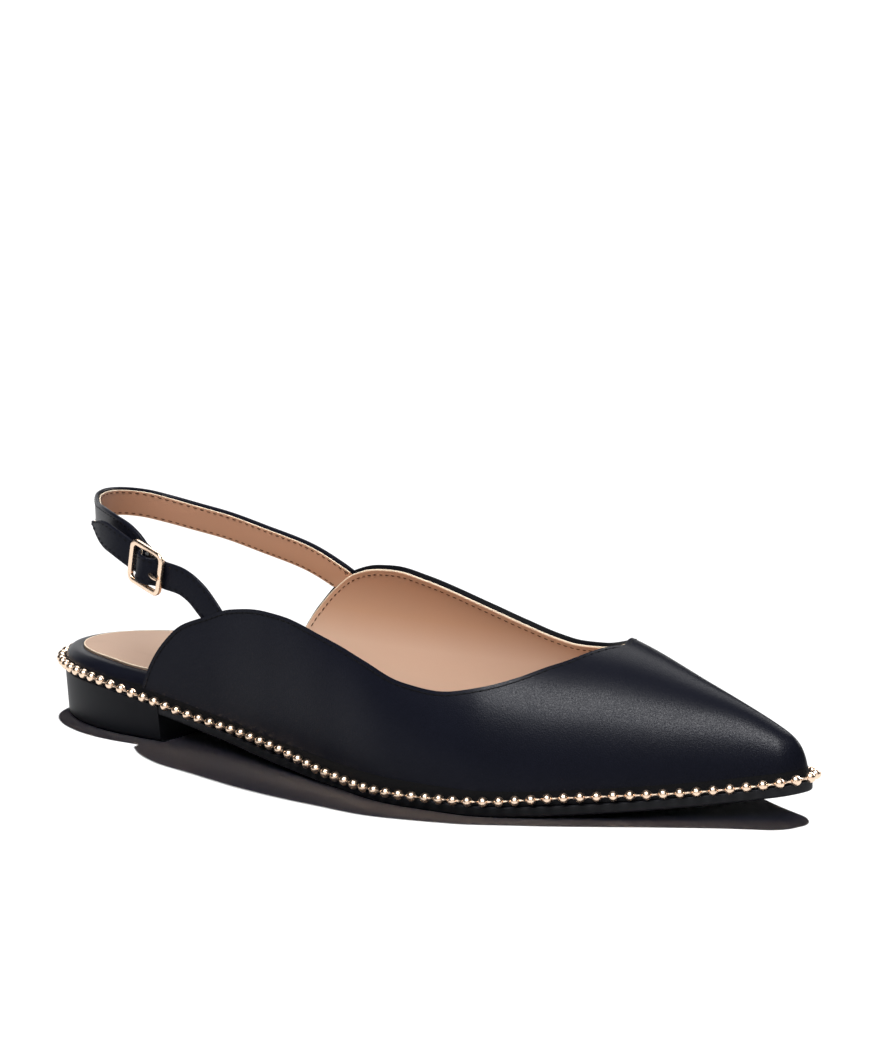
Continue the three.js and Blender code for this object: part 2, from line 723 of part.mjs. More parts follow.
function roundedRectangle(length, height, corner) {
  const outline = new THREE.Shape();
  const x = length / 2;
  const y = height / 2;
  outline.moveTo(-x + corner, -y);
  outline.lineTo(x - corner, -y);
  outline.absarc(x - corner, -y + corner, corner, -Math.PI / 2, 0);
  outline.lineTo(x, y - corner);
  outline.absarc(x - corner, y - corner, corner, 0, Math.PI / 2);
  outline.lineTo(-x + corner, y);
  outline.absarc(-x + corner, y - corner, corner, Math.PI / 2, Math.PI);
  outline.lineTo(-x, -y + corner);
  outline.absarc(-x + corner, -y + corner, corner, Math.PI, 1.5 * Math.PI);
  return outline;
}

// Cylinder along the buckle's y axis
function barAlongY(radius, length, sides) {
  return new THREE.CylinderGeometry(radius, radius, length, sides);
}

function buckleFrame() {
  const face = roundedRectangle(FRAME_LENGTH, FRAME_HEIGHT, FRAME_CORNER);
  const inside = roundedRectangle(
    FRAME_LENGTH - 2 * FRAME_WIRE,
    FRAME_HEIGHT - 2 * FRAME_WIRE,
    FRAME_CORNER_INSIDE,
  );
  face.holes.push(inside);
  const frame = new THREE.ExtrudeGeometry(face, {
    depth: FRAME_DEPTH - 2 * FRAME_BEVEL,
    bevelSize: FRAME_BEVEL,
    bevelOffset: -FRAME_BEVEL,
    bevelThickness: FRAME_BEVEL,
    bevelSegments: 1,
    curveSegments: CORNER_STEPS,
  });
  frame.translate(0, 0, FRAME_BEVEL - FRAME_DEPTH / 2);
  const bar = barAlongY(BAR_RADIUS, FRAME_HEIGHT - FRAME_WIRE, WIRE_SIDES);
  bar.translate(0, 0, BAR_LEVEL);
  return fromSolid(solid(frame).add(solid(bar)).transform(bucklePlace.elements));
}

// Wire pin hooked on the bar, through the strap's hole, over the front bar
function bucklePin() {
  const ringRadius = EYE_OUTER - PIN_INSET;
  const ring = barAlongY(ringRadius, 2 * PRONG_RADIUS, EYE_SIDES);
  const bore = barAlongY(BAR_RADIUS + CLEARANCE, STRAP_WIDTH, EYE_SIDES);
  const start = new THREE.Vector3(PRONG_ROOT * EYE_OUTER, 0, ringRadius - PRONG_RADIUS);
  const rest = FRAME_DEPTH / 2 + CLEARANCE + PRONG_RADIUS - BAR_LEVEL;
  const end = new THREE.Vector3(END_BAR - PRONG_REST * FRAME_WIRE, 0, rest);
  const pin = new THREE.CapsuleGeometry(PRONG_RADIUS, start.distanceTo(end), 3, WIRE_SIDES);
  const along = end.clone().sub(start).normalize();
  const upright = new THREE.Vector3(0, 1, 0);
  pin.applyQuaternion(new THREE.Quaternion().setFromUnitVectors(upright, along));
  const middle = start.clone().add(end).multiplyScalar(0.5);
  pin.translate(middle.x, middle.y, middle.z);
  const body = solid(ring).add(solid(pin)).subtract(solid(bore));
  return fromSolid(body.translate([0, -PIN_DROP, BAR_LEVEL]).transform(bucklePlace.elements));
}

// An ear's shape, thick enough to trim a strap's end to the top line
const earCutter = () => solid(upperWall(-CUTTER_SKIN, UPPER_WALL + CUTTER_SKIN, CLEARANCE));

// Heel strap, upright round the heel, then turning to the buckle's slope,
// with an eye round the buckle's bar and a notch in it for the pin
function heelStrap() {
  const path = new THREE.CatmullRomCurve3(
    [
      ...earPoints(MEDIAL),
      ...SLING_PATH.map(strapPoint),
      onBuckle(-END_BAR, SLING_LEVEL, SLING_RISE),
      onBuckle(0, SLING_LEVEL + SLING_TUCK),
    ],
    false,
    "centripetal",
  );
  const upright = (share) => {
    const twist = THREE.MathUtils.smoothstep(share, 1 - SLING_TWIST, 1);
    return SKYWARD.clone().lerp(buckleUp, twist);
  };
  const width = STRAP_WIDTH;
  const thickness = STRAP_THICKNESS;
  const band = solid(ribbon(path, { width, thickness, steps: STRAP_STEPS, upright }));
  const eye = solid(barAlongY(EYE_OUTER, width, EYE_SIDES));
  const bore = solid(barAlongY(BAR_RADIUS + CLEARANCE, 2 * width, EYE_SIDES));
  const notch = solid(
    new THREE.BoxGeometry(
      EYE_NOTCH.along * EYE_OUTER,
      2 * PRONG_RADIUS + 2 * CLEARANCE,
      EYE_NOTCH.outward * EYE_OUTER,
    ).translate(0, -PIN_DROP, 0),
  );
  const onBar = (body) => body.translate([0, 0, BAR_LEVEL]).transform(bucklePlace.elements);
  const looped = band.add(onBar(eye)).subtract(onBar(bore)).subtract(onBar(notch));
  return fromSolid(looped.subtract(earCutter()));
}

function buckleStrap() {
  const path = new THREE.CatmullRomCurve3(
    [
      ...earPoints(LATERAL),
      ...TAB_FRONT.map(strapPoint),
      ...TAB_WEAVE.map((row) => onBuckle(row.along * END_BAR, weaveLevel(row))),
      ...TAB_REAR.map(strapPoint),
    ],
    false,
    "centripetal",
  );
  const band = solid(
    ribbon(path, {
      width: STRAP_WIDTH,
      thickness: TAB_THICKNESS,
      steps: TAB_STEPS,
      upright: () => buckleUp,
      tip: TAB_TIP_LENGTH,
    }),
  );
  const hole = solid(
    new THREE.BoxGeometry(TAB_HOLE_LENGTH, TAB_HOLE, 3 * EYE_OUTER)
      .translate(TAB_HOLE_AT * END_BAR, -PIN_DROP, 0),
  ).transform(bucklePlace.elements);
  return fromSolid(band.subtract(hole).subtract(earCutter()));
}

// Bead chain round the seam: a ring of facets at each bead's two shoulders
// and at the neck between beads
function beadChain() {
  const along = (side, places) =>
    places.map((t) => {
      const flat = outlinePoint(t, side, 0);
      return new THREE.Vector3(flat.x, flat.y, chainHeight(shareAt(flat.x)));
    });
  const shares = stations();
  const forward = along(LATERAL, shares);
  const back = along(MEDIAL, shares.slice(1, -1)).reverse();
  const loop = new THREE.CatmullRomCurve3([...forward, ...back], true, "centripetal");
  loop.arcLengthDivisions = CHAIN_DIVISIONS;
  const beads = Math.round(loop.getLength() / BEAD_PITCH);
  const bead = BEAD_DIAMETER / 2;
  const shoulder = (BEAD_SHOULDER.along * bead) / BEAD_PITCH;
  const profile = [
    { at: 0, radius: CHAIN_NECK / 2 },
    { at: 0.5 - shoulder, radius: BEAD_SHOULDER.radius * bead },
    { at: 0.5 + shoulder, radius: BEAD_SHOULDER.radius * bead },
  ];
  const shell = new Shell();
  const rings = [];
  for (let i = 0; i < beads; i += 1) {
    for (const row of profile) {
      const u = (i + row.at) / beads;
      const point = loop.getPointAt(u);
      const ahead = loop.getTangentAt(u);
      const out = new THREE.Vector3().crossVectors(ahead, SKYWARD).normalize();
      const up = new THREE.Vector3().crossVectors(out, ahead).normalize();
      const ring = [];
      for (let k = 0; k < BEAD_SIDES; k += 1) {
        const turn = ((k + 0.5) / BEAD_SIDES) * 2 * Math.PI;
        const corner = point.clone();
        corner.addScaledVector(out, row.radius * Math.cos(turn));
        corner.addScaledVector(up, row.radius * Math.sin(turn));
        ring.push(shell.add(corner));
      }
      rings.push(ring);
    }
  }
  rings.forEach((ring, i) => {
    const next = rings[(i + 1) % rings.length];
    for (let k = 0; k < BEAD_SIDES; k += 1) {
      const n = (k + 1) % BEAD_SIDES;
      shell.quad(ring[n], ring[k], next[k], next[n]);
    }
  });
  return shell.geometry();
}

const paint = (color, roughness, metalness = 0) =>
  new THREE.MeshStandardMaterial({ color, roughness, metalness });
const BLACK_LEATHER = paint(0x17181c, 0.42);
const SOCK_LEATHER = paint(0xcfae9b, 0.6);
const BLACK_SOLE = paint(0x121214, 0.55);
const GOLD = paint(0xe6c3a0, 0.28, 1);

const shoe = new THREE.Group();
function place(name, geometry, material) {
  geometry.translate(0, AXIS_OFFSET, 0);
  const mesh = new THREE.Mesh(geometry, material);
  mesh.name = name;
  shoe.add(mesh);
}

place("outsole", outsole(), BLACK_SOLE);
place("heel_block", heelBlock(), BLACK_SOLE);
place("footbed", footbed(), BLACK_LEATHER);
place("sock", sock(), SOCK_LEATHER);
place("upper", upper(), BLACK_LEATHER);
place("heel_strap", heelStrap(), BLACK_LEATHER);
place("buckle_strap", buckleStrap(), BLACK_LEATHER);
place("buckle_frame", buckleFrame(), GOLD);
place("buckle_pin", bucklePin(), GOLD);
place("bead_chain", beadChain(), GOLD);

export default shoe;
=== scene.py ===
"""Looks of a woman's pointed slingback flat, right foot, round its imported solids.

Lengths in the tables and in the functions that make shapes are millimetres; a
mesh is scaled to metres when it is made.
"""
import json
import math

import bpy
from mathutils import Matrix, Vector

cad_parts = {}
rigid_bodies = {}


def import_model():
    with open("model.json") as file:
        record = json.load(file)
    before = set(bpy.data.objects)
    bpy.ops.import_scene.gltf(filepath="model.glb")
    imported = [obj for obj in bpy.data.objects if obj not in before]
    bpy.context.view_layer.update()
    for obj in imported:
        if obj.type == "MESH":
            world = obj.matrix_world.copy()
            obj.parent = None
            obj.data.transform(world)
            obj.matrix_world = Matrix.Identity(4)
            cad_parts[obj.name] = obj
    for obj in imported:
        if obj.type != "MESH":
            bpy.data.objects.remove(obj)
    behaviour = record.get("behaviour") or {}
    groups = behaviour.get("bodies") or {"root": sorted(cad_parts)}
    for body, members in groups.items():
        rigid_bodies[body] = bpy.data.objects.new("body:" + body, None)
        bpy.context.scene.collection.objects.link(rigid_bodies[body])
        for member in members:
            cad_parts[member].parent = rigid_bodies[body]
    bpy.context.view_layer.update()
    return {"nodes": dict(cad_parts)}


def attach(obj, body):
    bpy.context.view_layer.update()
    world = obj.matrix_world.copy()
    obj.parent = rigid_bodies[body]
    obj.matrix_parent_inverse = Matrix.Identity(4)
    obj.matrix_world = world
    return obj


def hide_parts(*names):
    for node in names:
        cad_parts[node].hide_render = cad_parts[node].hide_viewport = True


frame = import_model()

bl_info = {
    "name": "Pointed slingback flat",
    "version": (1, 0, 0),
    "blender": (4, 5, 0),
    "location": "3D View > Sidebar > Slingback",
    "description": "Builds the leather, metal and sole of a pointed slingback flat",
    "category": "Object",
}

MM = 0.001
BODY = "root"

# Sizes that the solids have too, and the shares that shape them
LENGTH = 266
BALL_WIDTH = 80
HEEL_LIFT = 11.2
TOE_SPRING = 8.2
VAMP_HEIGHT = 42.6
EAR_HEIGHT = 45.6
STRAP_HEIGHT = 63
CLEARANCE = 0.3
AXIS_OFFSET = 6.7
HEEL_ROUND = 46
TOE_ROUND = 7
SOLE_THICKNESS = 2.8
SOLE_WELT = -0.8
HEEL_WELT = -2.0
WELT_BLEND = (0.21, 0.42)
HEEL_BLOCK_LENGTH = 55.5
HEEL_BLOCK_SETBACK = 2.0
HEEL_BLOCK_TAPER = 0.5
FOOTBED_THICKNESS = 6.8
FOOTBED_RIM = 5.6
SOCK_RECESS = 0.7
SOCK_THICKNESS = 0.9
SOCK_REACH = 0.93
UPPER_WALL = 1.8
THROAT_AT = 0.79
THROAT_BLEND = 0.04
TOE_LAG = 4.5
TOE_CLOSING = 0.05
HANDLE_INSET = 0.35
REAR_CORNER_HEIGHT = 1.6
BEAD_SEAT = 3.2
BEAD_PITCH = 4.48
STRAP_WIDTH = 8.4
STRAP_THICKNESS = 1.8
TAB_THICKNESS = 1.3
TAB_TIP_LENGTH = 12
TIP_BLUNT = 0.16
LOOP_WIDTH = 54
EAR_STRAP = {"lateral": (0.309, 2.2), "medial": (0.318, 1.6)}
EAR_STRAP_FALL = 0.5
EAR_STRAP_DEPTH = 9
FRAME_LENGTH = 15.2
FRAME_HEIGHT = 13.4
FRAME_WIRE = 1.7
FRAME_DEPTH = 1.5
FRAME_CORNER = 2.8
BAR_RADIUS = 0.5
BAR_SETBACK = 1.15
EYE_WALL = 0.75
PRONG_RADIUS = 0.55
WEAVE_CLEARANCE = 0.45
PIN_INSET = 0.15
PIN_DROP = 0.8
SLING_RISE = 1.1
SLING_TUCK = 0.2
SLING_TWIST = 0.2
UPPER_OUT = -(BEAD_SEAT / 2 + CLEARANCE)
LATERAL, MEDIAL = -1, 1
SIDE_NAME = {LATERAL: "lateral", MEDIAL: "medial"}
SKYWARD = Vector((0, 0, 1))


def table(columns, rows):
    """Rows as dictionaries under named columns."""
    names = columns.split()
    return [dict(zip(names, row)) for row in rows]


# Tables: at is a share of the length from the heel, and the other columns
# are shares of the width, the heights or the loop's width that they go with
OUTLINE = table("at lateral medial", [
    (0.0, 0.35, 0.35), (0.12, 0.352, 0.352), (0.2, 0.358, 0.352), (0.3, 0.376, 0.343),
    (0.4, 0.436, 0.335), (0.5, 0.52, 0.355), (0.6, 0.59, 0.403), (0.68, 0.577, 0.424),
    (0.75, 0.498, 0.396), (0.82, 0.382, 0.32), (0.88, 0.273, 0.232), (0.94, 0.165, 0.138),
    (1.0, 0.075, 0.065),
])
UNDERSIDE = table("at heel toe", [
    (0.0, 1.0, 0), (0.1, 0.98, 0), (0.2, 0.77, 0), (0.3, 0.42, 0), (0.4, 0.155, 0),
    (0.5, 0.03, 0), (0.56, 0, 0), (0.7, 0, 0), (0.8, 0, 0.18), (0.9, 0, 0.5), (1.0, 0, 1.0),
])
FOOTBED = table("at thick lateral medial", [
    (0.0, 0.88, 0, 0), (0.12, 0.95, 0, 0), (0.18, 0.96, 1, 0.4), (0.24, 0.93, 1, 1),
    (0.4, 0.72, 1, 1), (0.6, 0.55, 1, 1), (0.85, 0.5, 1.1, 1.1), (1.0, 0.42, 1.4, 1.4),
])
SECTIONS = table("at ridge rise crown flare off", [
    (0.18, 2.1, 0.5, 0.95, 0.075, 0), (0.37, 2.1, 0.5, 0.95, 0.075, 0),
    (0.52, 1.65, 0.5, 0.9, 0.055, -0.01), (0.64, 1.25, 0.5, 0.8, 0.035, -0.02),
    (0.72, 1.07, 0.5, 0.68, 0.02, -0.025), (0.79, 0.96, 0.5, 0.58, 0.01, -0.025),
    (0.86, 0.815, 0.48, 0.52, 0.005, -0.015), (0.93, 0.661, 0.46, 0.52, 0, -0.005),
    (0.98, 0.518, 0.5, 0.6, 0, 0), (1.0, 0.452, 0.5, 0.6, 0, 0),
])
TOPLINE = {
    LATERAL: table("at up", [
        (0.188, 0.354), (0.206, 0.528), (0.226, 0.664), (0.256, 0.805), (0.292, 0.885),
        (0.336, 0.968), (0.387, 1.003), (0.42, 0.996), (0.486, 0.926), (0.553, 0.83),
        (0.606, 0.74), (0.65, 0.708), (0.69, 0.742), (0.716, 0.785), (0.745, 0.855),
        (0.79, 0.93),
    ]),
    MEDIAL: table("at up", [
        (0.238, 0.3), (0.246, 0.48), (0.263, 0.64), (0.279, 0.745), (0.3, 0.862),
        (0.332, 0.985), (0.365, 1.036), (0.395, 1.047), (0.44, 1.009), (0.484, 0.948),
        (0.526, 0.878), (0.566, 0.805), (0.608, 0.74), (0.64, 0.716), (0.675, 0.731),
        (0.72, 0.8), (0.75, 0.868), (0.79, 0.93),
    ]),
}
SLING_PATH = table("at out climb", [
    (0.27, 0.494, 0.06), (0.2, 0.487, 0.3), (0.155, 0.465, 0.46), (0.115, 0.43, 0.575),
    (0.083, 0.37, 0.7), (0.063, 0.29, 0.81), (0.05, 0.18, 0.89), (0.047, 0.07, 0.93),
    (0.053, -0.03, 0.93), (0.067, -0.12, 0.915), (0.088, -0.22, 0.9), (0.116, -0.32, 0.91),
    (0.147, -0.405, 0.88), (0.178, -0.46, 0.78),
])
TAB_FRONT = table("at out climb", [(0.286, -0.55, 0.09), (0.267, -0.552, 0.25)])
TAB_REAR = table("at out climb", [
    (0.165, -0.503, 0.71), (0.138, -0.462, 0.825), (0.112, -0.4, 0.92),
])
BUCKLE_PLACE = {"at": 0.2165, "out": -0.56, "climb": 0.41}
BUCKLE_SLOPE = math.radians(14)
BUCKLE_TURN = math.radians(11)
TAB_WEAVE = table("along over", [
    (1, 0), (0.85, 0.01), (0.5, 0.5), (0.25, 0.99), (-0.25, 0.99), (-0.5, 0.5),
    (-0.85, 0.01), (-1, 0),
])


def lerp(start, end, share):
    return start + (end - start) * share


def smoothstep(value, low, high):
    u = min(max((value - low) / (high - low), 0.0), 1.0)
    return u * u * (3 - 2 * u)


def through(rows, column, at):
    """Value of a table's column at a place, on a curve that never overshoots a row."""
    last = len(rows) - 1
    place = min(max(at, rows[0]["at"]), rows[last]["at"])
    row = 0
    while row < last - 1 and place > rows[row + 1]["at"]:
        row += 1

    def slope(i):
        return (rows[i + 1][column] - rows[i][column]) / (rows[i + 1]["at"] - rows[i]["at"])

    def tangent(i):
        if i in (0, last):
            return slope(0 if i == 0 else last - 1)
        before, after = slope(i - 1), slope(i)
        return 0 if before * after <= 0 else 2 * before * after / (before + after)

    span = rows[row + 1]["at"] - rows[row]["at"]
    u = (place - rows[row]["at"]) / span
    level = lerp(rows[row][column], rows[row + 1][column], u * u * (3 - 2 * u))
    bend = tangent(row) * u * (1 - u) ** 2 - tangent(row + 1) * u * u * (1 - u)
    return level + span * bend


def underside(at):
    """Height of the outsole's underside."""
    return HEEL_LIFT * through(UNDERSIDE, "heel", at) + TOE_SPRING * through(UNDERSIDE, "toe", at)


def seat(at):
    return underside(at) + SOLE_THICKNESS + CLEARANCE


def share_at(x):
    return x / LENGTH + 0.5


# Step over which slopes are taken, halvings of a search, and the least length that counts
SLOPE_STEP = 0.005
HALVINGS = 30
TINY = 1e-4
TOE_CROWDED = 1.6


def outline_point(t, side, out, reach=1.0):
    """Point of the seam's outline, moved out by a distance; reach shortens it at the toe."""
    toe_end = LENGTH + out if reach == 1 else LENGTH * reach
    from_heel = -out + t * (toe_end + out)
    at = from_heel / LENGTH

    def half(place):
        return BALL_WIDTH * through(OUTLINE, SIDE_NAME[side], place)

    lean = (half(at + SLOPE_STEP) - half(at - SLOPE_STEP)) / (2 * SLOPE_STEP * LENGTH)
    body = half(at) + out * math.hypot(1, lean)
    heel_round = (HEEL_ROUND + out) / (toe_end + out)
    toe_round = (TOE_ROUND + out if reach == 1 else TOE_ROUND) / (toe_end + out)
    heel_end = math.sqrt(1 - (1 - t / heel_round) ** 2) if t < heel_round else 1
    toe_fall = math.sqrt(max(0, 1 - (1 - (1 - t) / toe_round) ** 2)) if 1 - t < toe_round else 1
    return Vector((from_heel - LENGTH / 2, side * body * heel_end * toe_fall))


def stations(heel=28, middle=110, toe=14, end=1.0):
    """Shares at which an outline is sampled, close together round its ends."""
    heel_share = HEEL_ROUND / LENGTH
    toe_share = TOE_CROWDED * TOE_ROUND / LENGTH
    shares = [heel_share * (1 - math.cos(i / heel * math.pi / 2)) for i in range(heel)]
    shares += [heel_share + i / middle * (1 - toe_share - heel_share) for i in range(middle)]
    shares += [1 - toe_share * (1 - math.sin(i / toe * math.pi / 2)) for i in range(toe + 1)]
    return [share for share in shares if share <= end]


def last_section(t, side, skin):
    """The four handles of the last's section; skin moves it in from the outside face."""
    foot = outline_point(t, side, UPPER_OUT - skin)
    foot_at = share_at(foot.x)
    lag = TOE_LAG * smoothstep(t, THROAT_AT, 1)
    crown_x = foot.x - lag
    crown_at = share_at(crown_x)
    closing = smoothstep(1 - t, 0, TOE_CLOSING)

    def crown_height(at):
        return VAMP_HEIGHT * through(SECTIONS, "ridge", at) - skin

    rise = crown_height(crown_at + SLOPE_STEP) - crown_height(crown_at - SLOPE_STEP)
    fall = rise / (2 * SLOPE_STEP * LENGTH)
    low = seat(foot_at)
    high = crown_height(crown_at)
    crown_y = BALL_WIDTH * through(SECTIONS, "off", crown_at) * closing
    lean = BALL_WIDTH * through(SECTIONS, "flare", foot_at)
    upright = low + (high - low) * through(SECTIONS, "rise", foot_at) - HANDLE_INSET * skin
    reach = through(SECTIONS, "crown", crown_at)
    return (
        Vector((foot.x, foot.y, low)),
        Vector((foot.x, foot.y + side * lean, upright)),
        Vector((
            crown_x + reach * lag,
            crown_y + reach * (foot.y - crown_y) - side * HANDLE_INSET * skin * closing,
            high + fall * reach * lag,
        )),
        Vector((crown_x, crown_y, high)),
    )


def on_section(handles, q):
    a, b, c, d = handles
    p = 1 - q
    return a * p ** 3 + b * (3 * p * p * q) + c * (3 * p * q * q) + d * q ** 3


def share_at_height(handles, height):
    low, high = 0.0, 1.0
    for _ in range(HALVINGS):
        middle = (low + high) / 2
        if on_section(handles, middle).z < height:
            low = middle
        else:
            high = middle
    return (low + high) / 2


def topline_height(at, side):
    height = EAR_HEIGHT * through(TOPLINE[side], "up", at)
    throat = last_section(at, side, 0)[3].z
    joined = lerp(height, throat, smoothstep(at, THROAT_AT - THROAT_BLEND, THROAT_AT))
    return max(joined, seat(at) + REAR_CORNER_HEIGHT)


def strap_point(row):
    return Vector((
        (row["at"] - 0.5) * LENGTH,
        row["out"] * LOOP_WIDTH,
        lerp(EAR_HEIGHT, STRAP_HEIGHT, row["climb"]),
    ))


def wall_middle(at, side, height):
    handles = last_section(at, side, UPPER_WALL / 2)
    return on_section(handles, share_at_height(handles, height))


def ear_points(side):
    at, inset = EAR_STRAP[SIDE_NAME[side]]
    meet = topline_height(at, side) - inset
    inside = at + EAR_STRAP_DEPTH / LENGTH
    return [
        wall_middle(inside, side, meet - EAR_STRAP_FALL * EAR_STRAP_DEPTH),
        wall_middle(at, side, meet),
    ]


BUCKLE_MATRIX = (
    Matrix.Translation(strap_point(BUCKLE_PLACE))
    @ Matrix.Rotation(-BUCKLE_TURN, 4, "Z")
    @ Matrix.Rotation(math.pi / 2, 4, "X")
    @ Matrix.Rotation(-BUCKLE_SLOPE, 4, "Z")
)
BUCKLE_UP = BUCKLE_MATRIX.col[1].to_3d()
EYE_OUTER = BAR_RADIUS + CLEARANCE + EYE_WALL
BAR_LEVEL = -BAR_SETBACK
END_BAR = FRAME_LENGTH / 2 - FRAME_WIRE / 2
TAB_UNDER = -FRAME_DEPTH / 2 - WEAVE_CLEARANCE - TAB_THICKNESS / 2
TAB_OVER = BAR_LEVEL + EYE_OUTER + WEAVE_CLEARANCE + TAB_THICKNESS / 2
SLING_LEVEL = TAB_UNDER - TAB_THICKNESS / 2 - CLEARANCE - STRAP_THICKNESS / 2


def on_buckle(along, outward, up=0.0):
    return BUCKLE_MATRIX @ Vector((along, up, outward))


class Path:
    """Smooth curve through points, sampled evenly along its length."""

    def __init__(self, points, closed=False, fine=24):
        knots = list(points)
        if closed:
            knots = [points[-1], *points, points[0], points[1]]
        else:
            knots = [2 * points[0] - points[1], *points, 2 * points[-1] - points[-2]]
        dense = []
        for i in range(len(knots) - 3):
            dense += self.segment(knots[i:i + 4], fine)
        dense.append(knots[-2].copy())
        self.dense = dense
        self.lengths = [0.0]
        for a, b in zip(dense, dense[1:]):
            self.lengths.append(self.lengths[-1] + (b - a).length)
        self.length = self.lengths[-1]

    @staticmethod
    def segment(knots, fine):
        p0, p1, p2, p3 = knots
        d0, d1, d2 = ((b - a).length ** 0.5 for a, b in zip(knots, knots[1:]))
        d1 = d1 if d1 > TINY else 1.0
        d0 = d0 if d0 > TINY else d1
        d2 = d2 if d2 > TINY else d1
        t1 = ((p1 - p0) / d0 - (p2 - p0) / (d0 + d1) + (p2 - p1) / d1) * d1
        t2 = ((p2 - p1) / d1 - (p3 - p1) / (d1 + d2) + (p3 - p2) / d2) * d1
        out = []
        for i in range(fine):
            u = i / fine
            out.append(
                p1 * (2 * u ** 3 - 3 * u * u + 1) + t1 * (u ** 3 - 2 * u * u + u)
                + p2 * (3 * u * u - 2 * u ** 3) + t2 * (u ** 3 - u * u)
            )
        return out

    def point(self, share):
        goal = min(max(share, 0.0), 1.0) * self.length
        low, high = 0, len(self.lengths) - 1
        while high - low > 1:
            middle = (low + high) // 2
            if self.lengths[middle] <= goal:
                low = middle
            else:
                high = middle
        span = self.lengths[high] - self.lengths[low]
        u = (goal - self.lengths[low]) / span if span else 0.0
        return self.dense[low].lerp(self.dense[high], u)

    def tangent(self, share, step=0.4):
        d = step / self.length
        return (self.point(share + d) - self.point(share - d)).normalized()


# Meshes

# Shares of a section over which its direction at the edge is taken, steps up a wall,
# points along a stitch, the gap between two and how thin a thread's ends are
END_STEP = 0.01
WALL_STEPS = 44
STITCH_STEPS = 6
STITCH_GAP = 0.28
THREAD_TIP = 0.55
SHARP_ANGLE = math.radians(32)


def circle(centre, across, over, radius, sides):
    """Points round a centre, in the plane of two unit vectors."""
    turns = (2 * math.pi * k / sides for k in range(sides))
    return [
        centre + across * (radius * math.cos(a)) + over * (radius * math.sin(a)) for a in turns
    ]


class Shell:
    """Corners and faces of one piece, in millimetres."""

    def __init__(self):
        self.corners = []
        self.faces = []
        self.edged = []

    def add(self, point):
        self.corners.append((point.x, point.y, point.z))
        return len(self.corners) - 1

    def face(self, *corners):
        ring = [c for i, c in enumerate(corners) if c != corners[i - 1]]
        if len(ring) > 2:
            self.faces.append(ring)

    def sheet(self, rows, flip=False, round_rows=False, round_columns=False):
        """Quads between rows of corners, which may close either way."""
        rows = rows + rows[:1] if round_rows else rows
        for low, high in zip(rows, rows[1:]):
            n = len(low)
            for k in range(n if round_columns else n - 1):
                m = (k + 1) % n
                ring = (low[k], high[k], high[m], low[m])
                self.face(*(ring[::-1] if flip else ring))

    def arch(self, start, end, way, bulge, steps):
        """Corners from one to another, on an arc that stands out one way."""
        a, b = Vector(self.corners[start]), Vector(self.corners[end])
        middle = []
        for j in range(1, steps):
            u = j / steps
            middle.append(self.add(a.lerp(b, u) + way * (bulge * math.sin(math.pi * u))))
        return [start, *middle, end]

    def tube(self, points, radius, sides=8, closed=False, up=SKYWARD):
        """Round wire along points; radius is a number or a function of the share."""
        rings = []
        count = len(points)
        for i, point in enumerate(points):
            before = points[i - 1] if closed or i else points[i]
            after = points[(i + 1) % count] if closed or i + 1 < count else points[i]
            along = (after - before).normalized()
            across = along.cross(up)
            if across.length < TINY:
                across = along.cross(Vector((1, 0, 0)))
            across.normalize()
            size = radius(i / (count - 1)) if callable(radius) else radius
            ring = circle(point, across, across.cross(along), size, sides)
            rings.append([self.add(corner) for corner in ring])
        self.sheet(rings, flip=True, round_rows=closed, round_columns=True)
        if not closed:
            self.face(*rings[0])
            self.face(*rings[-1][::-1])

    def ball(self, centre, radius, along, sides=18, rings=11):
        across = along.cross(SKYWARD).normalized()
        over = across.cross(along)
        loops = []
        for i in range(rings + 1):
            fall = math.pi * i / rings
            middle = centre - along * (radius * math.cos(fall))
            if i in (0, rings):
                loops.append([self.add(middle)] * sides)
            else:
                ring = circle(middle, across, over, radius * math.sin(fall), sides)
                loops.append([self.add(corner) for corner in ring])
        self.sheet(loops, flip=True, round_columns=True)

    def stitch(self, start, end, normal, radius, rise):
        """One thread's length: a bow that dips into the leather at both ends."""
        points = []
        for i in range(STITCH_STEPS + 1):
            u = i / STITCH_STEPS
            points.append(start.lerp(end, u) + normal * (rise * math.sin(math.pi * u) - radius))
        self.tube(
            points, lambda u: radius * lerp(THREAD_TIP, 1, math.sin(math.pi * u)), 6, up=normal,
        )

    def stitches(self, spots, pitch, radius, rise):
        """Row of stitches along spots, each a point with its outward normal."""
        lengths = [0.0]
        for (a, _), (b, _) in zip(spots, spots[1:]):
            lengths.append(lengths[-1] + (b - a).length)

        def spot(goal):
            i = 0
            while i < len(lengths) - 2 and lengths[i + 1] < goal:
                i += 1
            u = (goal - lengths[i]) / max(lengths[i + 1] - lengths[i], TINY)
            return spots[i][0].lerp(spots[i + 1][0], u), spots[i][1].lerp(spots[i + 1][1], u)

        for i in range(int(lengths[-1] / pitch)):
            a, normal = spot((i + STITCH_GAP / 2) * pitch)
            b, _ = spot((i + 1 - STITCH_GAP / 2) * pitch)
            self.stitch(a, b, normal.normalized(), radius, rise)


def piece(name, shell, material, replaces=(), edge=None):
    """A shown mesh from a shell, riding on the shoe; edge is its edged faces' material."""
    mesh = bpy.data.meshes.new(name)
    corners = [(x * MM, (y + AXIS_OFFSET) * MM, z * MM) for x, y, z in shell.corners]
    mesh.from_pydata(corners, [], shell.faces)
    mesh.validate()
    mesh.shade_smooth()
    mesh.set_sharp_from_angle(angle=SHARP_ANGLE)
    mesh.materials.append(material)
    if edge:
        mesh.materials.append(edge)
        for face in shell.edged:
            mesh.polygons[face].material_index = 1
    thing = bpy.data.objects.new(name, mesh)
    bpy.context.scene.collection.objects.link(thing)
    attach(thing, BODY)
    if replaces:
        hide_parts(*replaces)
    return thing


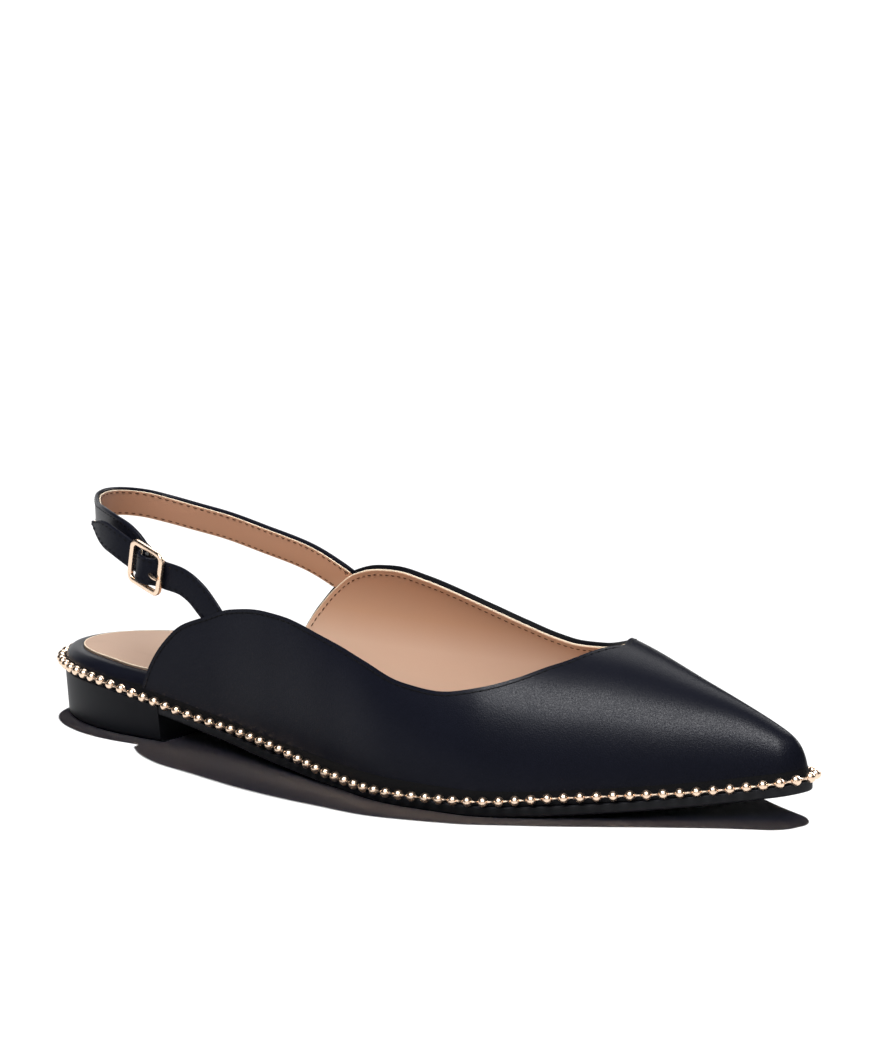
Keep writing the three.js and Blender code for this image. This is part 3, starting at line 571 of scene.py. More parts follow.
def slab(rings, shares, flat_front=False):
    """Closed slab inside the outline, from rings of (out, height, reach)."""
    shell = Shell()
    last = len(shares) - 1
    halves = []
    for out, height, reach in rings:
        def corner(t, side):
            guess = outline_point(t, side, 0, reach)
            flat = outline_point(t, side, out(share_at(guess.x), side), reach)
            return shell.add(Vector((flat.x, flat.y, height(share_at(flat.x)))))

        lateral = [corner(t, LATERAL) for t in shares]
        free = last + 1 if flat_front else last
        medial = lateral[:1] + [corner(t, MEDIAL) for t in shares[1:free]] + lateral[free:]
        halves.append((lateral, medial, lateral + medial[free - 1:0:-1]))
    shell.sheet([ring for _, _, ring in halves], round_columns=True)
    for (lateral, medial, _), upward in ((halves[0], False), (halves[-1], True)):
        for i in range(last):
            quad = (lateral[i], lateral[i + 1], medial[i + 1], medial[i])
            shell.face(*(quad if upward else quad[::-1]))
    return shell


def quarter(steps, first=0):
    """Share, sine and cosine at each step of a quarter turn."""
    for i in range(first, steps + 1):
        turn = i / steps * math.pi / 2
        yield i / steps, math.sin(turn), math.cos(turn)


def round_corners(steps):
    """Signs of each corner of a rectangle, with the angles round it."""
    for x, y, start in ((1, -1, -0.5), (1, 1, 0.0), (-1, 1, 0.5), (-1, -1, 1.0)):
        for i in range(steps + 1):
            yield x, y, (start + 0.5 * i / steps) * math.pi


# Shader graphs

def math_method(operation, reflected=False):
    """Method that adds a Math node for one of Python's operators."""
    def method(self, other):
        pair = (other, self) if reflected else (self, other)
        node = self.graph.node("ShaderNodeMath", {"operation": operation}, *pair)
        return Value(self.graph, node.outputs[0])

    return method


class Value:
    """A socket that adds Math nodes when it is used in an expression."""

    def __init__(self, graph, socket):
        self.graph = graph
        self.socket = socket

    __add__ = __radd__ = math_method("ADD")
    __mul__ = __rmul__ = math_method("MULTIPLY")
    __sub__ = math_method("SUBTRACT")
    __rsub__ = math_method("SUBTRACT", reflected=True)
    __truediv__ = math_method("DIVIDE")
    __rtruediv__ = math_method("DIVIDE", reflected=True)
    __pow__ = math_method("POWER")
    __rpow__ = math_method("POWER", reflected=True)


class Graph:
    """Node tree of one material with its main shader."""

    def __init__(self, name):
        self.material = bpy.data.materials.new(name)
        self.material.use_nodes = True
        self.tree = self.material.node_tree
        self.shader = self.tree.nodes["Principled BSDF"]
        self.place = self.node("ShaderNodeTexCoord", {}).outputs["Object"]

    def feed(self, socket, value):
        if isinstance(value, Value):
            value = value.socket
        if isinstance(value, bpy.types.NodeSocket):
            self.tree.links.new(value, socket)
        elif isinstance(value, tuple) and socket.type == "RGBA":
            socket.default_value = (*value, 1.0)
        else:
            socket.default_value = value

    def node(self, kind, settings, *values, **named):
        """A node of a type with its settings, then what its sockets take."""
        node = self.tree.nodes.new(kind)
        for key, setting in settings.items():
            if key == "stops":
                self.stops(node.color_ramp, setting)
            else:
                setattr(node, key, setting)
        for index, value in enumerate(values):
            self.feed(node.inputs[index], value)
        for key, value in named.items():
            self.feed(node.inputs[key.replace("_", " ")], value)
        return node

    @staticmethod
    def stops(ramp, places):
        while len(ramp.elements) < len(places):
            ramp.elements.new(0.5)
        for element, (position, color) in zip(ramp.elements, places):
            element.position = position
            element.color = (*color, 1.0)

    def noise(self, scale, detail=2.0, roughness=0.5, distortion=0.0, stretch=None):
        vector = self.place
        if stretch:
            vector = self.node("ShaderNodeMapping", {}, Vector=self.place, Scale=stretch).outputs[0]
        made = self.node(
            "ShaderNodeTexNoise", {}, Vector=vector, Scale=scale, Detail=detail,
            Roughness=roughness, Distortion=distortion,
        )
        return Value(self, made.outputs[0])

    def cells(self, scale):
        made = self.node("ShaderNodeTexVoronoi", {}, Vector=self.place, Scale=scale)
        return Value(self, made.outputs["Distance"])

    def height(self):
        """Height of a point over the floor, in metres."""
        return Value(self, self.node("ShaderNodeSeparateXYZ", {}, self.place).outputs["Z"])

    def ramp(self, value, *stops):
        return self.node("ShaderNodeValToRGB", {"stops": stops}, value).outputs["Color"]

    def mix(self, factor, first, second):
        node = self.node("ShaderNodeMix", {"data_type": "RGBA"})
        self.feed(node.inputs["Factor"], factor)
        for socket, value in zip([s for s in node.inputs if s.type == "RGBA"], (first, second)):
            self.feed(socket, value)
        return next(s for s in node.outputs if s.type == "RGBA")

    def bump(self, height, strength, distance):
        made = self.node(
            "ShaderNodeBump", {}, Strength=strength, Distance=distance * MM, Height=height,
        )
        return made.outputs[0]

    def shade(self, **sockets):
        for key, value in sockets.items():
            self.feed(self.shader.inputs[key.replace("_", " ")], value)
        return self.material


# Materials, with noise in cycles a metre and a bump's distance in millimetres

def toned(colour, *factors):
    """A colour as it is, times one factor, or times one for each channel."""
    factors = factors if len(factors) == 3 else (factors or (1.0,)) * 3
    return tuple(c * f for c, f in zip(colour, factors))


def black_leather(look):
    """Smooth black calf with a very fine grain that sparkles where it is glossy."""
    g = Graph("black_leather")
    grain = g.cells(2500.0)
    specks = g.noise(2900.0, roughness=0.6)
    fine = g.noise(5200.0)
    broad = g.noise(38.0, detail=3.0)
    return g.shade(
        Base_Color=g.mix(broad, toned(look.leather), toned(look.leather, 1.4)),
        Roughness=0.24 + 0.06 * broad + 0.06 * fine,
        Normal=g.bump(grain * 0.6 + fine * 0.6, strength=0.6, distance=0.1),
        Specular_IOR_Level=0.03,
        Coat_Weight=0.55 * specks ** 4,
        Coat_Roughness=0.26,
    )


def folded_edge(look):
    """Edge of the same leather, turned over and a little shinier."""
    g = Graph("folded_edge")
    fine = g.noise(3000.0)
    return g.shade(
        Base_Color=toned(look.leather, 0.8),
        Roughness=0.32 + 0.12 * fine,
        Normal=g.bump(fine, strength=0.2, distance=0.05),
        Specular_IOR_Level=0.08,
    )


# Heights between which the lining's painted shade changes, in metres: darker higher up, where less
# of the light from above reaches
LINING_SHADE_LOW, LINING_SHADE_HIGH = 20 * MM, 60 * MM


def lining_leather(look):
    """Beige pigskin lining, matt, with painted shade: paler low in the shoe where the light from
    above falls, darker and browner up the walls and the strap.
    """
    g = Graph("lining_leather")
    pores = g.cells(1500.0)
    broad = g.noise(30.0, detail=3.0)
    fine = g.noise(2600.0)
    # Painted shade by height: the lining's colour darkens from low in the shoe up to the strap
    painted_shade_by_height = g.ramp(
        (g.height() - LINING_SHADE_LOW) / (LINING_SHADE_HIGH - LINING_SHADE_LOW),
        (0.095, toned(look.lining)),
        (0.3225, toned(look.lining, 0.82, 0.68, 0.58)),
        (0.5675, toned(look.lining, 0.62, 0.44, 0.33)),
        (0.9, toned(look.lining, 0.48, 0.33, 0.25)),
    )
    return g.shade(
        Base_Color=g.mix(broad * 0.16, painted_shade_by_height, toned(look.lining, 0.5)),
        Roughness=0.52 + 0.12 * fine,
        Normal=g.bump(pores + 0.6 * fine, strength=0.22, distance=0.05),
        Specular_IOR_Level=0.2,
    )


def sock_leather(look):
    """Pale sock with the faint smudges of handling."""
    g = Graph("sock_leather")
    broad = g.noise(24.0, detail=3.0)
    smear = g.noise(60.0, detail=4.0, roughness=0.6, distortion=0.8, stretch=(1.0, 2.4, 1.0))
    fine = g.noise(2400.0)
    pores = g.cells(1700.0)
    marks = g.ramp(smear, (0.58, (0.0, 0.0, 0.0)), (0.8, (0.16, 0.16, 0.16)))
    tone = g.mix(broad, toned(look.sock, 0.93), toned(look.sock))
    return g.shade(
        Base_Color=g.mix(marks, tone, toned(look.sock, 0.6)),
        Roughness=0.5 + 0.14 * fine,
        Normal=g.bump(pores + 0.5 * fine, strength=0.18, distance=0.05),
        Specular_IOR_Level=0.2,
    )


def raw_edge(look):
    """Pale cut edge of a lining or of the sock; along the linings' top edges its paleness is partly
    a painted highlight, where the edge catches the light.
    """
    g = Graph("raw_edge")
    fibre = g.noise(2600.0, detail=3.0)
    return g.shade(
        Base_Color=g.mix(fibre, toned(look.edge, 0.86), toned(look.edge)),
        Roughness=0.62 + 0.1 * fibre,
        Normal=g.bump(fibre, strength=0.3, distance=0.06),
    )


def thread(name, colour):
    """Twisted sewing thread of one colour."""
    g = Graph(name)
    twist = g.noise(4200.0)
    return g.shade(
        Base_Color=g.mix(twist, toned(colour, 0.6), toned(colour)),
        Roughness=0.55 + 0.2 * twist,
        Normal=g.bump(twist, strength=0.4, distance=0.05),
        Specular_IOR_Level=0.05,
    )


def black_thread(look):
    return thread("black_thread", look.thread)


def lining_thread(look):
    return thread("lining_thread", look.lining_thread)


def sole_rubber(look):
    """Matt black sole with a faint cast texture."""
    g = Graph("sole_rubber")
    fine = g.noise(1500.0, detail=3.0)
    broad = g.noise(45.0, detail=3.0)
    return g.shade(
        Base_Color=g.mix(broad, toned(look.sole), toned(look.sole, 1.5)),
        Roughness=0.5 + 0.14 * fine,
        Normal=g.bump(fine, strength=0.25, distance=0.06),
        Specular_IOR_Level=0.2,
    )


def heel_finish(look):
    """Heel block, smooth and sprayed black."""
    g = Graph("heel_finish")
    fine = g.noise(2000.0)
    broad = g.noise(60.0, detail=3.0)
    return g.shade(
        Base_Color=g.mix(broad, toned(look.sole), toned(look.sole, 1.35)),
        Roughness=0.38 + 0.12 * broad,
        Normal=g.bump(fine, strength=0.12, distance=0.04),
        Specular_IOR_Level=0.06,
    )


def edge_paint(look):
    """Black paint on the cut top edge of the leather."""
    g = Graph("edge_paint")
    fine = g.noise(2400.0)
    return g.shade(
        Base_Color=toned(look.leather, 0.3),
        Roughness=0.5 + 0.2 * fine,
        Normal=g.bump(fine, strength=0.2, distance=0.05),
        Specular_IOR_Level=0.05,
    )


def matt_rand(look):
    """Dull black that paints shade: on the strip behind the chain, where the upper tucks under into
    shade, and on the line under the stitches, a painted groove shadow.
    """
    g = Graph("matt_rand")
    fine = g.noise(2200.0)
    return g.shade(
        # Near-black base colour: painted shade
        Base_Color=toned(look.leather, 0.3),
        Roughness=0.85 + 0.1 * fine,
        Normal=g.bump(fine, strength=0.3, distance=0.06),
        Specular_IOR_Level=0.15,
    )


def plated_metal(look):
    """Pale rose gold plating with fine handling marks."""
    g = Graph("plated_metal")
    marks = g.noise(900.0, detail=3.0)
    return g.shade(
        Base_Color=g.mix(marks, toned(look.metal, 0.93), toned(look.metal)),
        Metallic=1.0,
        Roughness=0.2 + 0.14 * marks,
    )


def stage_floor(look):
    """Pale matt floor."""
    g = Graph("stage_floor")
    return g.shade(Base_Color=toned(look.floor), Roughness=0.9, Specular_IOR_Level=0.1)


# Sizes and colours that a user would change

class SlingbackSizes(bpy.types.PropertyGroup):
    """Sizes of what the solids don't have."""

    leather: bpy.props.FloatProperty(
        name="Leather thickness", description="Outer leather of the upper, the rest is lining",
        default=1.15 * MM, unit="LENGTH", precision=5,
    )
    rim_drop: bpy.props.FloatProperty(
        name="Lining drop", description="How far the lining's edge stops below the top line",
        default=0.3 * MM, unit="LENGTH", precision=5,
    )
    bead: bpy.props.FloatProperty(
        name="Bead", description="Diameter of a bead of the chain",
        default=2.9 * MM, unit="LENGTH", precision=5,
    )
    link: bpy.props.FloatProperty(
        name="Link", description="Diameter of the wire between two beads",
        default=0.75 * MM, unit="LENGTH", precision=5,
    )
    stitch: bpy.props.FloatProperty(
        name="Stitch pitch", description="Length from one stitch to the next",
        default=2.3 * MM, unit="LENGTH", precision=5,
    )


def colour(name, description, default):
    return bpy.props.FloatVectorProperty(
        name=name, description=description, default=default, subtype="COLOR", size=3,
        min=0.0, max=1.0,
    )


class SlingbackLook(bpy.types.PropertyGroup):
    """Colours of the shoe and its stage."""

    leather: colour("Leather", "Black leather of the upper and straps", (0.0058, 0.0064, 0.0108))
    lining: colour("Lining", "Lining of the upper and straps", (0.8, 0.57, 0.43))
    sock: colour("Sock", "Sock on the footbed", (0.44, 0.295, 0.215))
    # Cut edges: their own pale colour, and along the linings' edges partly a painted highlight
    edge: colour("Cut edge", "Cut edges of lining and sock", (0.86, 0.7, 0.52))
    sole: colour("Sole", "Outsole and heel block", (0.008, 0.0085, 0.011))
    metal: colour("Metal", "Beads and buckle", (0.9, 0.68, 0.51))
    thread: colour("Thread", "Stitches on the black leather", (0.004, 0.004, 0.005))
    lining_thread: colour("Lining thread", "Stitches on the lining", (0.06, 0.028, 0.016))
    floor: colour("Floor", "Floor of the stage", (0.86, 0.86, 0.86))


def shoe_sizes():
    return bpy.context.scene.slingback_sizes


def shoe_look():
    return bpy.context.scene.slingback_look


MADE = {}


def finish_of(make):
    """A material, made the first time that it is asked for."""
    if make not in MADE:
        MADE[make] = make(shoe_look())
    return MADE[make]


# Upper

THROAT_REACH = 1.6
THROAT_OVER = Vector((-0.7, 0, 0.7)).normalized()
OPEN_STEPS, VAMP_STEPS = 110, 64
ENDS_CROWDED = 0.75
LAYER_GAP = 0.06
LEATHER_BULGE, LINING_BULGE = 0.2, 0.1
LEATHER_RIM_STEPS, LINING_RIM_STEPS = 6, 3
EDGE_RADIUS = 0.3
EDGE_CLEAR = 1.8
# Radius of the dark tube along the outer stitch row, which paints the shadow of a groove
GROOVE_SHADOW_RADIUS = 0.25
# How far in from its edge and how far off the ridge a row stays, then its thread
OUTER_ROW = {"inset": 1.1, "clear": 1.5, "lift": 0.02, "radius": 0.17, "rise": 0.22}
INNER_ROW = {"inset": 1.15, "clear": 1.2, "lift": 0.0, "radius": 0.15, "rise": 0.2}


def throat_share(back):
    """Share of the outline where an edge set back from the top line meets its twin."""
    return THROAT_AT + THROAT_REACH * back / LENGTH


def upper_shares(side, back=0.0):
    """Shares from the rear corner to the toe, and the number of the throat's."""
    rear = TOPLINE[side][0]["at"]
    throat = throat_share(back)
    shares = []
    for i in range(OPEN_STEPS):
        even = i / OPEN_STEPS
        turn = 0.5 - 0.5 * math.cos(even * math.pi)
        shares.append(rear + (throat - rear) * lerp(even, turn, ENDS_CROWDED))
    for _, sine, _ in quarter(VAMP_STEPS):
        shares.append(throat + (1 - throat) * sine)
    return shares, OPEN_STEPS


def end_share(t, side, back):
    """Where a section ends at the top line, or at an edge set back from it."""
    if t >= throat_share(back):
        return 1.0
    handles = last_section(t, side, 0)
    end = share_at_height(handles, topline_height(t, side)) if t < THROAT_AT else 1.0
    step = on_section(handles, end) - on_section(handles, end - END_STEP)
    return end - back * END_STEP / step.length


def wall_rows(shares, side, skin, back):
    rows = []
    for t in shares:
        handles = last_section(t, side, skin)
        end = end_share(t, side, back)
        rows.append([on_section(handles, end * k / WALL_STEPS) for k in range(WALL_STEPS + 1)])
    return rows


def rim_frames(side, skin, shares, back=0.0):
    """Top line on one skin: point, outward normal, and the way out over the edge."""
    points, slopes = [], []
    for t in shares:
        handles = last_section(t, side, skin)
        end = end_share(t, side, back)
        points.append(on_section(handles, end))
        slopes.append((points[-1] - on_section(handles, end - 2 * END_STEP)).normalized())
    frames = []
    for i, point in enumerate(points):
        ahead = (points[min(i + 1, len(points) - 1)] - points[max(i - 1, 0)]).normalized()
        normal = ahead.cross(slopes[i]).normalized() * -side
        over = normal.cross(ahead).normalized()
        if over.dot(slopes[i]) < 0:
            over = -over
        frames.append((point, normal, over))
    return frames


def walled(outer_skin, inner_skin, back, bulge, rim_steps):
    """Closed wall of the upper between two skins, with a rounded top edge.

    The second side shares the first one's corners along the ridge and at the toe.
    """
    shell = Shell()
    mates = (None, None)
    strips = []
    for side in (LATERAL, MEDIAL):
        turned = side == MEDIAL
        shares, throat = upper_shares(side, back)
        toe = len(shares) - 1
        sheets = []
        for skin, mate in zip((outer_skin, inner_skin), mates):
            sheet = []
            for i, row in enumerate(wall_rows(shares, side, skin, back)):
                own = len(row)
                if mate and i >= throat:
                    own = 0 if i == toe else WALL_STEPS
                line = [shell.add(point) for point in row[:own]]
                sheet.append(line + (mate[i][own:] if mate else []))
            sheets.append(sheet)
        outer, inner = mates = sheets
        shell.sheet(outer, flip=turned)
        shell.sheet(inner, flip=not turned)
        throat_strip = strips[-1:]
        over = [frame[2] for frame in rim_frames(side, 0, shares[:throat], back)]
        over += [] if throat_strip else [THROAT_OVER]
        strips = [
            shell.arch(outer[i][-1], inner[i][-1], way, bulge, rim_steps)
            for i, way in enumerate(over)
        ] + throat_strip
        first = len(shell.faces)
        shell.sheet(strips, flip=turned)
        shell.edged += range(first, len(shell.faces))
        shell.sheet([[row[0] for row in inner], [row[0] for row in outer]], flip=not turned)
        shell.sheet([list(pair) for pair in zip(outer[0], inner[0])], flip=not turned)
        shell.face(*(strips[0][::-1] if turned else strips[0]))
    return shell


def rim_line(skin, back, inset=0.0, lift=0.0, clear=0.1):
    """Spots along each side's edge, moved in from it, that stay clear of the ridge."""
    lines = []
    for side in (LATERAL, MEDIAL):
        shares, throat = upper_shares(side, back)
        line = []
        for point, normal, over in rim_frames(side, skin, shares[:throat], back):
            spot = point - over * inset + normal * lift
            ridge = BALL_WIDTH * through(SECTIONS, "off", share_at(spot.x))
            if side * (spot.y - ridge) > clear:
                line.append((spot, normal))
        lines.append(line)
    return lines


class SLINGBACK_OT_upper(bpy.types.Operator):
    """Leather and lining of the upper, with their edges and stitch rows"""

    bl_idname = "slingback.upper"
    bl_label = "Upper"

    def execute(self, context):
        sizes = shoe_sizes()
        leather, drop, pitch = sizes.leather / MM, sizes.rim_drop / MM, sizes.stitch / MM
        outer = walled(0.0, leather, 0.0, LEATHER_BULGE, LEATHER_RIM_STEPS)
        inner = walled(leather + LAYER_GAP, UPPER_WALL, drop, LINING_BULGE, LINING_RIM_STEPS)
        edge, painted_groove_shadow, outer_row, inner_row = Shell(), Shell(), Shell(), Shell()
        # Pale tube along the lining's top edge: cut edge, partly a painted highlight where it
        # catches the light
        for line in rim_line((leather + UPPER_WALL) / 2, drop, clear=EDGE_CLEAR):
            edge.tube([point for point, _ in line], EDGE_RADIUS)
        r = OUTER_ROW
        for line in rim_line(0.0, 0.0, r["inset"], r["lift"], r["clear"]):
            outer_row.stitches(line, pitch, r["radius"], r["rise"])
            # Dark tube under the outer stitches: painted groove shadow
            painted_groove_shadow.tube([point - normal * r["radius"] for point, normal in line], GROOVE_SHADOW_RADIUS)
        r = INNER_ROW
        for line in rim_line(UPPER_WALL, drop, r["inset"], r["lift"], r["clear"]):
            spots = [(point, -normal) for point, normal in line]
            inner_row.stitches(spots, pitch, r["radius"], r["rise"])
        piece("upper_leather", outer, finish_of(black_leather), ("upper",),
              edge=finish_of(edge_paint))
        piece("upper_lining", inner, finish_of(lining_leather))
        piece("lining_edge", edge, finish_of(raw_edge))
        piece("upper_groove", painted_groove_shadow, finish_of(matt_rand))
        piece("upper_stitches", outer_row, finish_of(black_thread))
        piece("lining_stitches", inner_row, finish_of(lining_thread))
        return {"FINISHED"}


# Sole and footbed

SOLE_SOFT = 0.7
SOLE_TOP_SOFT = 0.35
HEEL_SOFT = 1.1
HEEL_TOP_SOFT = 0.3
# Sizes of the dark strip behind the chain, which paints the shade where the upper tucks under
PAINTED_SHADE_HEIGHT = table("at up", [(0.15, 3.4), (0.3, 3.9), (0.55, 4.3), (0.7, 4.0), (1.0, 3.3)])
PAINTED_SHADE_SKIN = 0.14
PAINTED_SHADE_TUCK = 0.05
PAINTED_SHADE_STEPS = 4
PAINTED_SHADE_OVERLAP = 0.02
FOOTBED_REACH = 0.982
# Section of the footbed: shares of its rim inward, of its height, and of the recess
FOOTBED_WALL = (0.0, 0.25, 0.45)
FOOTBED_ROUND = {"inward": 0.55, "steps": 8, "reach": 0.965}
FOOTBED_INSIDE = (
    (0.8, 1.0, 0.02, 0.95), (0.93, 1.0, 0.1, 0.942), (0.98, 1.0, 0.35, 0.94),
    (1.0, 1.0, 1.0, 0.94),
)
# Section of the sock: how far in, in millimetres, and shares of its thickness
SOCK_SECTION = ((0.0, -0.2), (0.0, 0.75), (0.12, 0.93), (0.4, 1.0))
SOCK_GAP = 0.1
SOCK_BORDER = {"inset": 0.12, "up": 0.8, "radius": 0.22}


def welt(at):
    """How far the outsole's edge stands out from the seam, flush with the heel block."""
    return lerp(HEEL_WELT, SOLE_WELT, smoothstep(at, *WELT_BLEND))


def outsole_ring(inward, lift):
    return lambda at, side: welt(at) - inward, lambda at: underside(at) + lift, 1.0


def outsole():
    """Thin sole with a softened edge."""
    rings = [
        outsole_ring(SOLE_SOFT * (1 - sine), SOLE_SOFT * (1 - cosine))
        for _, sine, cosine in quarter(4)
    ]
    rings += [
        outsole_ring(SOLE_TOP_SOFT * (1 - cosine), SOLE_THICKNESS - SOLE_TOP_SOFT * (1 - sine))
        for _, sine, cosine in quarter(3, 1)
    ]
    return slab(rings, stations())


def heel_ring(out, height):
    return lambda at, side: out, height, 1.0


def heel_block():
    """Low block with a flat breast, tapered to its foot."""
    breast = HEEL_BLOCK_LENGTH / LENGTH
    shares = stations(end=breast - CLEARANCE / LENGTH) + [breast]
    top = -HEEL_BLOCK_SETBACK + HEEL_BLOCK_TAPER / 2
    foot = -HEEL_BLOCK_SETBACK - HEEL_BLOCK_TAPER / 2
    rings = [
        heel_ring(foot - HEEL_SOFT * (1 - sine), lambda at, lift=HEEL_SOFT * (1 - cosine): lift)
        for _, sine, cosine in quarter(5)
    ]
    rings += [
        heel_ring(top - inward, lambda at, drop=drop: underside(at) + SOLE_THICKNESS - drop)
        for inward, drop in ((0, HEEL_TOP_SOFT), (HEEL_TOP_SOFT, 0))
    ]
    return slab(rings, shares, flat_front=True)


def rand():
    """Matt black strip in the seam behind the chain, against the upper and the bare footbed:
    painted shade where the upper tucks under.
    """
    shell = Shell()
    for side in (LATERAL, MEDIAL):
        strip = []
        for t in upper_shares(side)[0]:
            handles = last_section(t, side, -PAINTED_SHADE_SKIN)
            top = handles[0].z + through(PAINTED_SHADE_HEIGHT, "up", t)
            end = share_at_height(handles, min(top, topline_height(t, side)))
            line = [on_section(handles, end * k / PAINTED_SHADE_STEPS) for k in range(PAINTED_SHADE_STEPS + 1)]
            line.append(on_section(last_section(t, side, PAINTED_SHADE_TUCK), end))
            strip.append([shell.add(point) for point in line])
        shell.sheet(strip, flip=side == MEDIAL)
        strip = []
        for t in stations(end=TOPLINE[side][0]["at"] + PAINTED_SHADE_OVERLAP):
            line = []
            for inward, up in ((-PAINTED_SHADE_SKIN, 0.0), (-PAINTED_SHADE_SKIN, 1.0), (2 * PAINTED_SHADE_TUCK, 1.0)):
                guess = share_at(outline_point(t, side, 0).x)
                flat = outline_point(t, side, footbed_edge(guess, side) - inward, FOOTBED_REACH)
                lift = up * PAINTED_SHADE_HEIGHT[0]["up"]
                line.append(Vector((flat.x, flat.y, seat(share_at(flat.x)) + lift)))
            strip.append([shell.add(point) for point in line])
        shell.sheet(strip, flip=side == MEDIAL)
    return shell


class SLINGBACK_OT_sole(bpy.types.Operator):
    """Outsole, heel block and the strip of painted shade over them"""

    bl_idname = "slingback.sole"
    bl_label = "Sole and heel"

    def execute(self, context):
        piece("sole", outsole(), finish_of(sole_rubber), ("outsole",))
        piece("heel", heel_block(), finish_of(heel_finish), ("heel_block",))
        piece("rand", rand(), finish_of(matt_rand))
        return {"FINISHED"}


def footbed_edge(at, side):
    share = through(FOOTBED, SIDE_NAME[side], at)
    return UPPER_OUT - CLEARANCE - (UPPER_WALL + CLEARANCE) * share


def footbed_top(at):
    return seat(at) + FOOTBED_THICKNESS * through(FOOTBED, "thick", at)


def footbed_ring(inward, up, sunk, reach):
    return (
        lambda at, side: footbed_edge(at, side) - inward * FOOTBED_RIM,
        lambda at: lerp(seat(at), footbed_top(at), up) - sunk * SOCK_RECESS,
        reach,
    )


def footbed_wrap():
    """Footbed, up its wall, over its rounded rim and down into the sock's recess."""
    section = [(0.0, up, 0.0, FOOTBED_REACH) for up in FOOTBED_WALL]
    for u, sine, cosine in quarter(FOOTBED_ROUND["steps"], 1):
        section.append((
            FOOTBED_ROUND["inward"] * (1 - cosine), lerp(FOOTBED_WALL[-1], 1.0, sine), 0.0,
            lerp(FOOTBED_REACH, FOOTBED_ROUND["reach"], u),
        ))
    return slab([footbed_ring(*row) for row in (*section, *FOOTBED_INSIDE)], stations(30))


def sock_out(inset):
    return lambda at, side: footbed_edge(at, side) - FOOTBED_RIM - SOCK_GAP - inset


def sock_height(share):
    return lambda at: footbed_top(at) - SOCK_RECESS + CLEARANCE + share * SOCK_THICKNESS


def sock_border(shares):
    """Bead of the sock's cut edge, all the way round it."""
    out, height = sock_out(SOCK_BORDER["inset"]), sock_height(SOCK_BORDER["up"])
    line = []
    for side, places in ((LATERAL, shares), (MEDIAL, shares[-2:0:-1])):
        for t in places:
            guess = outline_point(t, side, 0, SOCK_REACH)
            flat = outline_point(t, side, out(share_at(guess.x), side), SOCK_REACH)
            line.append(Vector((flat.x, flat.y, height(share_at(flat.x)))))
    border = Shell()
    border.tube(line, SOCK_BORDER["radius"], closed=True)
    return border


class SLINGBACK_OT_footbed(bpy.types.Operator):
    """Footbed wrapped in black leather, and the sock in its recess"""

    bl_idname = "slingback.footbed"
    bl_label = "Footbed and sock"

    def execute(self, context):
        shares = stations(30)
        sock = slab([(sock_out(i), sock_height(u), SOCK_REACH) for i, u in SOCK_SECTION], shares)
        piece("footbed_wrap", footbed_wrap(), finish_of(black_leather),
              ("footbed",))
        piece("sock_leather", sock, finish_of(sock_leather), ("sock",))
        piece("sock_edge", sock_border(shares), finish_of(raw_edge))
        return {"FINISHED"}


# Bead chain

# How far the chain hangs under its straight course, in millimetres
CHAIN_LIE = table("at lateral medial", [
    (0.0, -0.9, -0.9), (0.09, -0.9, -0.5), (0.14, -0.65, -0.1), (0.2, 0.05, 0.2),
    (0.245, 0.3, 0.0), (0.29, 0.0, -0.3), (0.36, -0.85, -0.3), (0.4, -0.9, 0.1),
    (0.44, -0.2, 0.3), (0.5, 0.8, 0.4), (0.56, 1.1, 0.3), (0.61, 1.0, 0.1), (0.66, 0.6, 0.0),
    (0.72, 0.1, -0.2), (0.78, -0.5, -0.3), (0.825, -0.35, -0.1), (0.87, 0.1, 0.1),
    (0.93, 0.55, 0.4), (1.0, 0.65, 0.65),
])
CHAIN_CLEAR = 0.3
HEEL_TUCK = 0.7
HEEL_TUCK_BLEND = (0.02, 0.14)
# Share of a bead's radius at which a link leaves it, and how a link is waisted
LINK_START = 0.9
LINK_ENDS, LINK_WAIST = 1.35, 0.65
LINK_STEPS = 4


def chain_point(t, side):
    """Middle of the chain, which stands off a little where it hangs low."""
    at = share_at(outline_point(t, side, 0).x)
    drop = through(CHAIN_LIE, SIDE_NAME[side], at)
    tuck = HEEL_TUCK * (1 - smoothstep(at, *HEEL_TUCK_BLEND))
    flat = outline_point(t, side, CHAIN_CLEAR * max(drop, 0) - tuck)
    return Vector((flat.x, flat.y, seat(share_at(flat.x)) + BEAD_SEAT / 2 - drop))


class SLINGBACK_OT_chain(bpy.types.Operator):
    """Bead chain round the seam"""

    bl_idname = "slingback.chain"
    bl_label = "Bead chain"

    def execute(self, context):
        shares = stations(9, 44, 5)
        points = [chain_point(t, LATERAL) for t in shares]
        points += [chain_point(t, MEDIAL) for t in shares[-2:0:-1]]
        path = Path(points, closed=True)
        count = round(path.length / BEAD_PITCH)
        bead = shoe_sizes().bead / MM / 2
        link = shoe_sizes().link / MM / 2
        chain = Shell()
        for i in range(count):
            share = (i + 0.5) / count
            centre = path.point(share)
            chain.ball(centre, bead, path.tangent(share))
            after = path.point((i + 1.5) / count % 1.0)
            sunk = (after - centre).normalized() * (bead * LINK_START)
            start, end = centre + sunk, after - sunk
            spots = [start.lerp(end, k / LINK_STEPS) for k in range(LINK_STEPS + 1)]
            chain.tube(
                spots, lambda u: link * lerp(LINK_ENDS, LINK_WAIST, math.sin(math.pi * u)),
            )
        piece("beads", chain, finish_of(plated_metal), ("bead_chain",))
        return {"FINISHED"}


# Straps and buckle

# Where a strap's end lies in its ear: how deep under the top line, over what length it
# thins to what share, and the steps and the last share of the search for that place
EAR_SINK = 1.3
EAR_TAPER, EAR_THIN = 5.0, 0.3
SEARCH_STEP, SEARCH_END = 0.3, 0.3
SHELL_STEPS, LINE_STEPS = 150, 260
PROFILE_STEPS = 4
LEATHER_CORNER, LINING_CORNER = 0.46, 0.3
